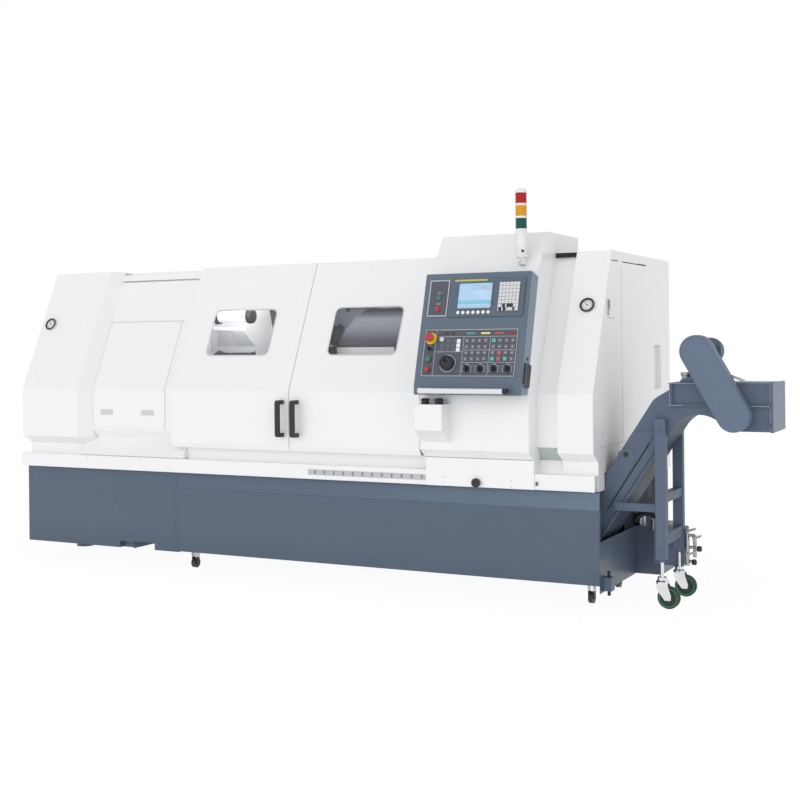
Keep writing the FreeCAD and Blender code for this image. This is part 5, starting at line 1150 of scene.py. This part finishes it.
# painted shade: black plates in the side recess and in the opening under the hood
plate_piece("recess_slot", "black_plastic", shadow_black,
            (panel(1024.0, 1012.0, 12.0, 136.0, 3.0), -29.8, -27.5, SIDE))
plate_piece("hood_slot", "black_plastic", shadow_black,
            (panel(-302.0, 1698.0, 121.0, 24.0), -300.0, -296.0, FRONT))

tick = Piece()
tick.plate(panel(-0.7, -3.6, 1.4, 5.0), 0.0, 0.35, HERE)
tick = form_object(tick)
rims, dials, needles, marks = Piece(), Piece(), Piece(), []
for x, along in ((-3521.0, 423.0), (-84.0, 468.0)):
    place = up_lean(x, along)
    rims.turn([(27.5, 11.0), (38.4, 11.0), (38.4, 15.2), (36.8, 17.0), (29.0, 16.0),
               (27.5, 14.0)], place, 48)
    dials.turn([(0.0, 10.8), (29.6, 10.8), (29.6, 11.5), (0.0, 11.5)], place, 48)
    lifted = place @ Matrix.Translation((0.0, 0.0, 11.5 * MM))
    marks.append(ring(tick, 24, 23.0, lifted, shadow_black))
    needles.plate([(-1.2, -6.0), (1.2, -6.0), (0.5, 21.0), (-0.5, 21.0)], 12.2, 13.0,
                  place @ Matrix.Rotation(math.radians(38.0), 4, "Z"))
    needles.turn([(0.0, 11.6), (3.4, 11.6), (3.4, 14.4), (0.0, 14.8)], place, 20)
rims.finish("gauge_rims", "machine", "black_plastic", black_moulding)
dials.finish("gauge_dials", "machine", "key_plastic", pale_dial)
gather("gauge_ticks", shadow_black, marks, False)
needles.finish("gauge_needles", "machine", "black_plastic", shadow_black)
drop_form(tick)

# ------------------------------------------------------------------ work area


def section(outline, first, last, rim=0.0):
    """A cross-section in (depth, height) between two values of X, for a plate."""
    return outline, first, last, SIDE, rim


def sheet(outline, near, far, rim=0.0):
    """An outline in (x, height) as an upright sheet between two depths, for a plate."""
    return outline, -far, -near, FRONT, rim


def level_strip(left, right, low, high):
    return [(left, low), (right, low), (right, high), (left, high)]


plate_piece("chuck_guard", "white_paint", liner_white,
            sheet([(-2425.0, 1226.0), (-2128.0, 1226.0), (-2112.0, 1262.0), (-2190.0, 1355.0),
                   (-2425.0, 1355.0)], 258.0, 262.0),
            section([(258.0, 1352.0), (262.0, 1352.0), (292.0, 1368.0), (290.0, 1371.0),
                     (258.0, 1355.0)], -2425.0, -2195.0))
# painted shade: a grey sheet where the chuck guard folds away from the light
plate_piece("guard_fold", "white_paint", liner_grey,
            sheet([(-2376.0, 1264.0), (-2116.0, 1264.0), (-2190.0, 1353.0), (-2376.0, 1353.0)],
                  256.6, 258.2))
plate_piece("guard_brace", "grey_paint", brace_grey,
            sheet([(-2230.0, 1266.0), (-2120.0, 1266.0), (-2192.0, 1351.0), (-2290.0, 1351.0)],
                  255.8, 256.8))
plate_piece("guard_lip", "rubber", seal_rubber,
            sheet([(-2410.0, 1205.0), (-2260.0, 1209.0), (-2160.0, 1207.0), (-2152.0, 1217.0),
                   (-2200.0, 1226.0), (-2290.0, 1222.0), (-2330.0, 1228.0), (-2362.0, 1240.0),
                   (-2390.0, 1226.0)], 254.0, 262.5, 1.5))
plate_piece("boring_tool", "cast_iron", tool_grey,
            sheet([(-2092.0, 1362.0), (-2080.0, 1362.0), (-2056.5, 1424.0), (-2056.5, 1478.0),
                   (-2114.0, 1478.0)], 408.0, 440.0, 3.0), body="turret")

lamp_rings = Piece()
for x in (-2420.0, -2196.0):
    lamp_rings.turn([(36.0, -2.0), (43.0, -2.0), (44.0, 4.0), (44.0, 20.0), (41.0, 24.0),
                     (36.0, 24.0)], facing(x, 320.0, 1437.0, RIGHT), 40)
lamp_rings.plate(*sheet(level_strip(-2425.0, -2180.0, 1478.0, 1482.0), 300.0, 340.0))
lamp_rings.finish("lamp_rings", "machine", "black_plastic", shadow_black)


def painted_bow_shading():
    """Way guard sheet with painted light and shade on its bow: dark at both ends, a pale band
    across the middle, and a drawn grain.
    """
    finish = Finish("rolled_guard")
    height = finish.node("ShaderNodeMapRange", {},
                         {"Value": finish.axes()[2], "From Min": 1.25, "From Max": 1.475})
    # painted light and shade up the bow: a tone ramp by height
    tone = finish.node(
        "ShaderNodeValToRGB",
        {"stops": [(0.0, (0.1, 0.098, 0.115)), (0.25, (0.17, 0.18, 0.215)),
                   (0.5, (0.25, 0.27, 0.32)), (0.68, (0.3, 0.33, 0.37)),
                   (0.76, (0.17, 0.18, 0.2)), (0.86, (0.105, 0.108, 0.118))]},
        {0: height},
    )
    grain = finish.noise(240.0, 2.0, (0.1, 1.0, 1.0))
    body = finish.mix(grain * 0.16, tone, (0.4, 0.41, 0.44))
    return finish.surface(body, 0.42 + grain * 0.12, Normal=finish.bump(grain, 0.00004, 0.4))


def way_guard_shell():
    """A rolled sheet whose left edge is cut on a slant."""
    bow_y, bow_z, bow_deep, bow_tall = 240.0, 1352.0, 95.0, 108.0
    right, thickness = -905.0, 4.0
    shell = bmesh.new()
    rows = []
    for angle in range(-84, 85, 12):
        y = bow_y - bow_deep * math.cos(math.radians(angle))
        z = bow_z + bow_tall * math.sin(math.radians(angle))
        left = -1532.0 + 190.0 * (z - 1253.0) / 219.0
        rows.append([shell.verts.new((x, y + behind, z))
                     for behind in (0.0, thickness) for x in (left, right)])
    for low_row, high_row in zip(rows, rows[1:]):
        for i, j in ((0, 1), (1, 3), (3, 2), (2, 0)):
            shell.faces.new((low_row[i], low_row[j], high_row[j], high_row[i]))
    for end in (rows[0], rows[-1]):
        shell.faces.new((end[0], end[1], end[3], end[2]))
    bmesh.ops.recalc_face_normals(shell, faces=shell.faces)
    return shell


way_guard = Piece()
way_guard.add(way_guard_shell(), Matrix.Translation(CORNER))
way_guard.finish("way_guard", "machine", "steel", painted_bow_shading())

plate_piece("back_guard", "steel", guard_blue,
            sheet(level_strip(-1716.0, -1330.0, 1225.0, 1490.0), 266.0, 269.0))
plate_piece("guard_sill", "white_paint", white_enamel,
            section(level_strip(166.0, 250.0, 1204.0, 1251.0), -1520.0, -1165.0, 2.0))
hanger = [(238.0, 1446.0), (262.0, 1446.0), (335.0, 1663.0), (298.0, 1663.0)]
# black blocks at the sill's ends are painted shade in the slots there
plate_piece("guard_brackets", "black_plastic", shadow_black,
            *(section(level_strip(160.0, 248.0, 1203.0, 1256.0), x, x + 12.0, 1.0)
              for x in (-1533.0, -1164.0)),
            *(section(hanger, x, x + 5.0) for x in (-1500.0, -912.0)),
            sheet(level_strip(-1500.0, -1330.0, 1470.0, 1490.0), 255.0, 267.0))
block = Piece()
block.plate(*sheet([(-1616.0, 1272.0), (-1575.0, 1260.0), (-1498.0, 1336.0), (-1545.0, 1379.0),
                    (-1570.0, 1362.0), (-1604.0, 1362.0)], 236.0, 267.0, 3.0))
block.turn([(0.0, 0.0), (20.0, 0.0), (22.0, 8.0), (22.0, 30.0), (16.0, 36.0), (0.0, 36.0)],
           facing(-1604.0, 266.0, 1236.0), 28)
block.finish("coolant_block", "machine", "cast_iron", olive_casting)
plate_piece("coolant_fittings", "chrome", bright_plate, *(
    sheet(outline, 240.0, 264.0, 2.0) for outline in (
        [(-1608.0, 1363.0), (-1572.0, 1363.0), (-1576.0, 1372.0), (-1606.0, 1372.0)],
        [(-1532.0, 1360.0), (-1486.0, 1356.0), (-1490.0, 1344.0), (-1508.0, 1338.0)],
        [(-1612.0, 1257.0), (-1570.0, 1258.0), (-1572.0, 1269.0), (-1608.0, 1270.0)])))

# ------------------------------------------------------------------- conveyor


def stadium(radius, first, second, steps=12):
    """Outline round two circles of one radius."""
    (x0, y0), (x1, y1) = first, second
    heading = math.atan2(y1 - y0, x1 - x0)
    outline = []
    for (x, y), start in ((second, heading - math.pi / 2), (first, heading + math.pi / 2)):
        for i in range(steps + 1):
            angle = start + math.pi * i / steps
            outline.append((x + radius * math.cos(angle), y + radius * math.sin(angle)))
    return outline


MOTOR_X, MOTOR_Z = 465.0, 1220.0
DRIVE_X, DRIVE_Z = 634.0, 922.0
# faces of the side flange, the head's side, the raised band and the side sheet
FLANGE = facing(0.0, 108.8, 0.0)
HEAD = facing(0.0, 129.8, 0.0)
RAISED_BAND = facing(0.0, 131.0, 0.0)
SIDE_SHEET = facing(0.0, 135.0, 0.0)

axes_of_chain = (MOTOR_X, MOTOR_Z), (DRIVE_X, DRIVE_Z)
rim = Piece()
rim.frame(stadium(76.0, *axes_of_chain), stadium(70.0, *axes_of_chain), -0.4, 1.4,
          facing(0.0, 57.7, 0.0))
rim.finish("chain_guard_rim", "machine", "grey_paint", guard_enamel)

LEVER = facing(650.0, 118.0, 1092.0)
turned_piece("clamp_stud", "chrome", zinc_plate,
             ([(0.0, -22.0), (6.0, -22.0), (6.0, 4.0), (0.0, 4.0)], LEVER, 16))
plate_piece("clamp_lever", "chrome", zinc_plate,
            ([(-38.0, 10.0), (-30.0, 18.0), (30.0, -6.0), (34.0, -14.0), (26.0, -16.0)],
             2.0, 12.0, LEVER, 3.0))

fins = Piece()
for i in range(9):
    fins.turn([(56.0, 0.0), (63.8, 0.0), (63.8, 3.2), (56.0, 3.2)],
              facing(MOTOR_X, 236.0 + 10.5 * i, MOTOR_Z), 40)
fins.turn([(0.0, 0.0), (50.0, 0.0), (60.0, -4.0), (63.5, -4.0), (63.5, -26.0), (0.0, -26.0)],
          facing(MOTOR_X, 345.0, MOTOR_Z), 40)
fins.finish("motor_fins", "machine", "grey_paint", conveyor_enamel)
plate_piece("terminal_box", "grey_paint", conveyor_enamel,
            (panel(-34.0, -30.0, 68.0, 60.0, 6.0), 0.0, 22.0,
             facing(MOTOR_X + 52.0, 280.0, MOTOR_Z, RIGHT), 4.0))

bolt = Piece()
bolt.turn([(0.0, -0.5), (9.0, -0.5), (9.0, 0.8), (0.0, 0.8)], HERE, 24)
bolt.turn([(0.0, 0.6), (6.4, 0.6), (6.4, 4.6), (5.4, 5.4), (0.0, 5.4)], HERE, 6)
bolt = form_object(bolt)
gather("conveyor_bolts", conveyor_enamel, [
    grid(bolt, count, (0.0, step, 0.0), place, conveyor_enamel) for count, step, place in (
        (2, -95.0, facing(782.0, 129.8, 974.0)), (1, 0.0, facing(75.0, 130.9, 727.0)),
        (2, 560.0, facing(282.0, 96.6, 280.0)))])
drop_form(bolt)

# rings on both faces of the caster wheels
HUB = [(0.0, -3.0), (19.0, -3.0), (19.0, 0.4), (16.0, 1.4), (7.0, 1.4), (6.0, 3.0), (0.0, 3.0)]
TYRE = [(39.0, -1.5), (46.0, -1.5), (46.0, 0.0), (45.0, 0.8), (40.0, 0.8), (39.0, 0.0)]
for ending, profile, steps, finish in (("_hub", HUB, 32, hub_green),
                                       ("_band", TYRE, 40, tyre_green)):
    for body in ("near_caster_wheel", "far_caster_wheel"):
        low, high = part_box(body)
        centre = ((low + high) / 2 - CORNER) / MM
        half = (high.y - low.y) / 2 / MM
        places = [facing(centre.x, centre.y + side * half, centre.z, (0.0, side, 0.0))
                  for side in (-1.0, 1.0)]
        turned_piece(body + ending, "rubber", finish,
                     *((profile, place, steps) for place in places), body=body)

# fittings of the coolant tank behind the legs
valves = Piece()
for x, y, low, high, radius in (
        (318.0, 452.0, 150.0, 330.0, 11.0), (352.0, 470.0, 190.0, 300.0, 9.0),
        (30.0, 640.0, 300.0, 372.0, 24.0), (120.0, 560.0, 300.0, 350.0, 18.0)):
    valves.turn([(0.0, 0.0), (radius, 0.0), (radius, high - low), (0.0, high - low)],
                upright(x, y, low), 20)
for x, z, long in ((318.0, 322.0, 44.0), (352.0, 288.0, 38.0), (318.0, 205.0, 40.0)):
    valves.turn([(0.0, -6.0), (16.0, -6.0), (16.0, 6.0), (0.0, 6.0)],
                facing(x, 452.0, z, RIGHT), 6)
    valves.plate([(-4.0, -5.0), (long, 8.0), (long + 4.0, 20.0), (long - 6.0, 18.0),
                  (-4.0, 5.0)], 14.0, 19.0, facing(x, 452.0, z), 1.0)
for z in (170.0, 240.0, 300.0):
    valves.turn([(0.0, -22.0), (8.0, -22.0), (8.0, 52.0), (0.0, 52.0)],
                facing(302.0, 461.0, z, RIGHT), 16)
valves.finish("coolant_valves", "machine", "steel", zinc_plate)
hose = Piece()
for x, y, z in ((378.0, 452.0, 236.0), (352.0, 452.0, 168.0), (30.0, 640.0, 384.0)):
    hose.turn([(0.0, -12.0), (11.0, -12.0), (13.0, -6.0), (13.0, 8.0), (8.0, 14.0), (0.0, 14.0)],
              upright(x, y, z), 20)
for i in range(12):
    angle = math.radians(15.0 * i)
    outward = Vector((math.cos(angle), 0.0, math.sin(angle)))
    along = Vector((math.sin(angle), 0.0, -math.cos(angle)))
    bead = spot(75.0 + 62.0 * math.cos(angle), 600.0, 332.0 + 46.0 * math.sin(angle))
    hose.turn([(0.0, -14.0), (13.0, -14.0), (15.0, 0.0), (13.0, 14.0), (0.0, 14.0)],
              turned_to(bead, outward, BACK, along), 16)
hose.finish("coolant_hose", "machine", "black_plastic", black_moulding)
nuts = Piece()
for low, high, radius in ((1061.0, 1072.0, 30.0), (1072.0, 1092.0, 22.0), (1092.0, 1108.0, 27.0)):
    tall = high - low
    nuts.turn([(0.0, 0.0), (radius - 1.5, 0.0), (radius, 1.5), (radius, tall - 1.5),
               (radius - 1.5, tall), (0.0, tall)], upright(392.0, 176.0, low + 12.0), 28)
nuts.finish("slide_nuts", "machine", "chrome", zinc_plate)
turned_piece("tower_knob", "black_plastic", black_moulding,
             ([(0.0, -2.0), (7.0, -2.0), (7.0, 5.0), (5.0, 7.0), (0.0, 7.0)],
              facing(-381.0, 38.0, 1722.0, (0.5, -0.85, 0.0)), 20))

edge_coat = enamel("edge_coat", (0.24, 0.285, 0.37), 0.4, shine=0.2)
# painted highlights: pale strips along the edges of the side flange and the head
plate_piece("flange_edges", "grey_paint", edge_coat, *(
    (panel(*sizes), -0.2, 0.8, place) for place, sizes in (
        (FLANGE, (320.0, 1067.0, 272.0, 4.0)), (FLANGE, (320.0, 963.0, 70.0, 4.0)),
        (FLANGE, (706.0, 963.0, 84.0, 4.0)), (FLANGE, (326.0, 968.0, 4.0, 98.0)),
        (HEAD, (592.0, 1071.5, 196.0, 3.0)), (HEAD, (786.0, 846.0, 3.0, 226.0)))))
plate_piece("separator_box", "grey_paint", conveyor_enamel,
            (panel(150.6, 146.0, 150.0, 184.0, 6.0), -560.0, -440.0, FRONT, 3.0),
            (panel(156.0, 328.0, 139.0, 5.0, 2.0), -556.0, -444.0, FRONT, 1.0))
# painted shade: a dark sheet on the enclosure's side, where it lies in shade behind the trough
plate_piece("end_shroud", "grey_paint", shroud_grey,
            ([(432.0, 300.0), (1225.0, 300.0), (1225.0, 720.0), (760.0, 720.0), (432.0, 556.0)],
             -0.4, 4.0, SIDE, 1.0))
# painted shade: a black patch for the dark hole in that shade
plate_piece("shroud_hole", "black_plastic", shadow_black,
            (panel(845.0, 425.0, 90.0, 96.0, 40.0), 3.6, 4.6, SIDE))

plate_piece("incline_tab", "grey_paint", conveyor_enamel,
            ([(75.0, 637.0), (115.0, 634.0), (148.0, 693.0), (148.0, 737.0), (111.0, 760.0),
              (75.0, 715.0)], -0.4, 2.6, RAISED_BAND, 0.8))
# painted shade: dark strips in the channel below the raised band
grooves = Piece()
run, rise = math.cos(math.radians(57.0)), math.sin(math.radians(57.0))
for near_edge, far_edge in ((94.5, 100.0), (138.0, 142.5)):
    corners = ((near_edge, -110.0), (far_edge, -110.0), (far_edge, 285.0), (near_edge, 285.0))
    grooves.plate([(-15.0 + length * run + depth * rise, 594.0 + length * rise - depth * run)
                   for depth, length in corners], -0.4, 0.5, SIDE_SHEET)
grooves.finish("incline_grooves", "machine", "grey_paint", shroud_grey)
turned_piece("incline_plug", "black_plastic", black_moulding,
             ([(0.0, 2.0), (12.0, 2.0), (12.0, 5.0), (9.5, 7.0), (0.0, 7.0)],
              facing(107.0, 131.0, 724.0), 24))

# --------------------------------------------------------------------- studio


def background_rays(tree):
    """1 for the rays that show the plain background, 0 for those that light the machine."""
    camera, glossy, through = tree.outputs(
        ("Is Camera Ray", "Is Glossy Ray", "Is Transmission Ray"), "ShaderNodeLightPath")
    return camera.larger(glossy).larger(through)


paper_coat = Finish("studio_floor")
tone = paper_coat.noise(0.8, 2.0)
card = paper_coat.node("ShaderNodeEmission", {}, {"Color": (1.0, 1.0, 1.0), "Strength": 1.05})
paper = paper_coat.shader(
    paper_coat.mix(tone, (0.84, 0.84, 0.85), (0.87, 0.87, 0.88)), 0.85 + tone * 0.1
)
share = (background_rays(paper_coat) * 0.9).larger(0.6)
paper_coat.done(paper_coat.node("ShaderNodeMixShader", {}, {0: share, 1: paper, 2: card}))
bpy.ops.mesh.primitive_plane_add(size=60.0, location=(0.0, 0.0, -0.0005))
floor = bpy.context.object
floor.name = "studio_floor"
floor.data.materials.append(paper_coat.material)

world = bpy.data.worlds.new("studio")
bpy.context.scene.world = world
world.use_nodes = True
sky = Tree(world.node_tree)
ambient = sky.node("ShaderNodeBackground", {}, {"Color": (0.97, 0.985, 1.0), "Strength": 0.54})
white = sky.node("ShaderNodeBackground", {}, {"Color": (1.0, 1.0, 1.0), "Strength": 1.0})
seen = sky.node("ShaderNodeMixShader", {}, {0: background_rays(sky), 1: ambient, 2: white})
sky.node("ShaderNodeOutputWorld", {}, {"Surface": seen}, None)


def lamp(name, kind, energy):
    """A lamp that leaves no image of itself in glossy surfaces."""
    data = bpy.data.lights.new(name, kind)
    data.energy = energy
    item = linked(name, data)
    item.visible_glossy = False
    return item


for name, source, strength, angle in (("key_light", (-0.25, -0.95, 0.04), 1.42, 70.0),
                                      ("fill_light", (0.9, -0.42, 0.2), 0.66, 90.0)):
    sun = lamp(name, "SUN", strength)
    sun.data.angle = math.radians(angle)
    sun.rotation_mode = "QUATERNION"
    sun.rotation_quaternion = Vector(source).to_track_quat("Z", "Y")

for name, place, power in (("chuck_lamp", (-2200.0, 225.0, 1455.0), 1.1),
                           ("bulkhead_lamp", (-2060.0, 560.0, 1590.0), 5.0)):
    bulb = lamp(name, "POINT", power)
    bulb.data.shadow_soft_size = 0.03
    bulb.location = spot(*place)
    bulb.visible_camera = False

# the camera stands where the photograph was taken from, with its level tilted a little
lens_data = bpy.data.cameras.new("camera")
lens_data.lens = 55.973
lens_data.sensor_width = 36.0
lens_data.shift_y = -0.0728
lens_data.clip_end = 100.0
camera = linked("camera", lens_data)
camera.rotation_mode = "QUATERNION"
stand = Matrix.Translation((3.29336, -6.254464, 1.278717))
heading, level, roll = (Matrix.Rotation(math.radians(angle), 4, axis)
                        for angle, axis in ((27.1645, "Z"), (90.0, "X"), (-0.58, "Z")))
camera.matrix_world = stand @ heading @ level @ roll
bpy.context.scene.camera = camera
bpy.context.scene.view_settings.view_transform = "Standard"
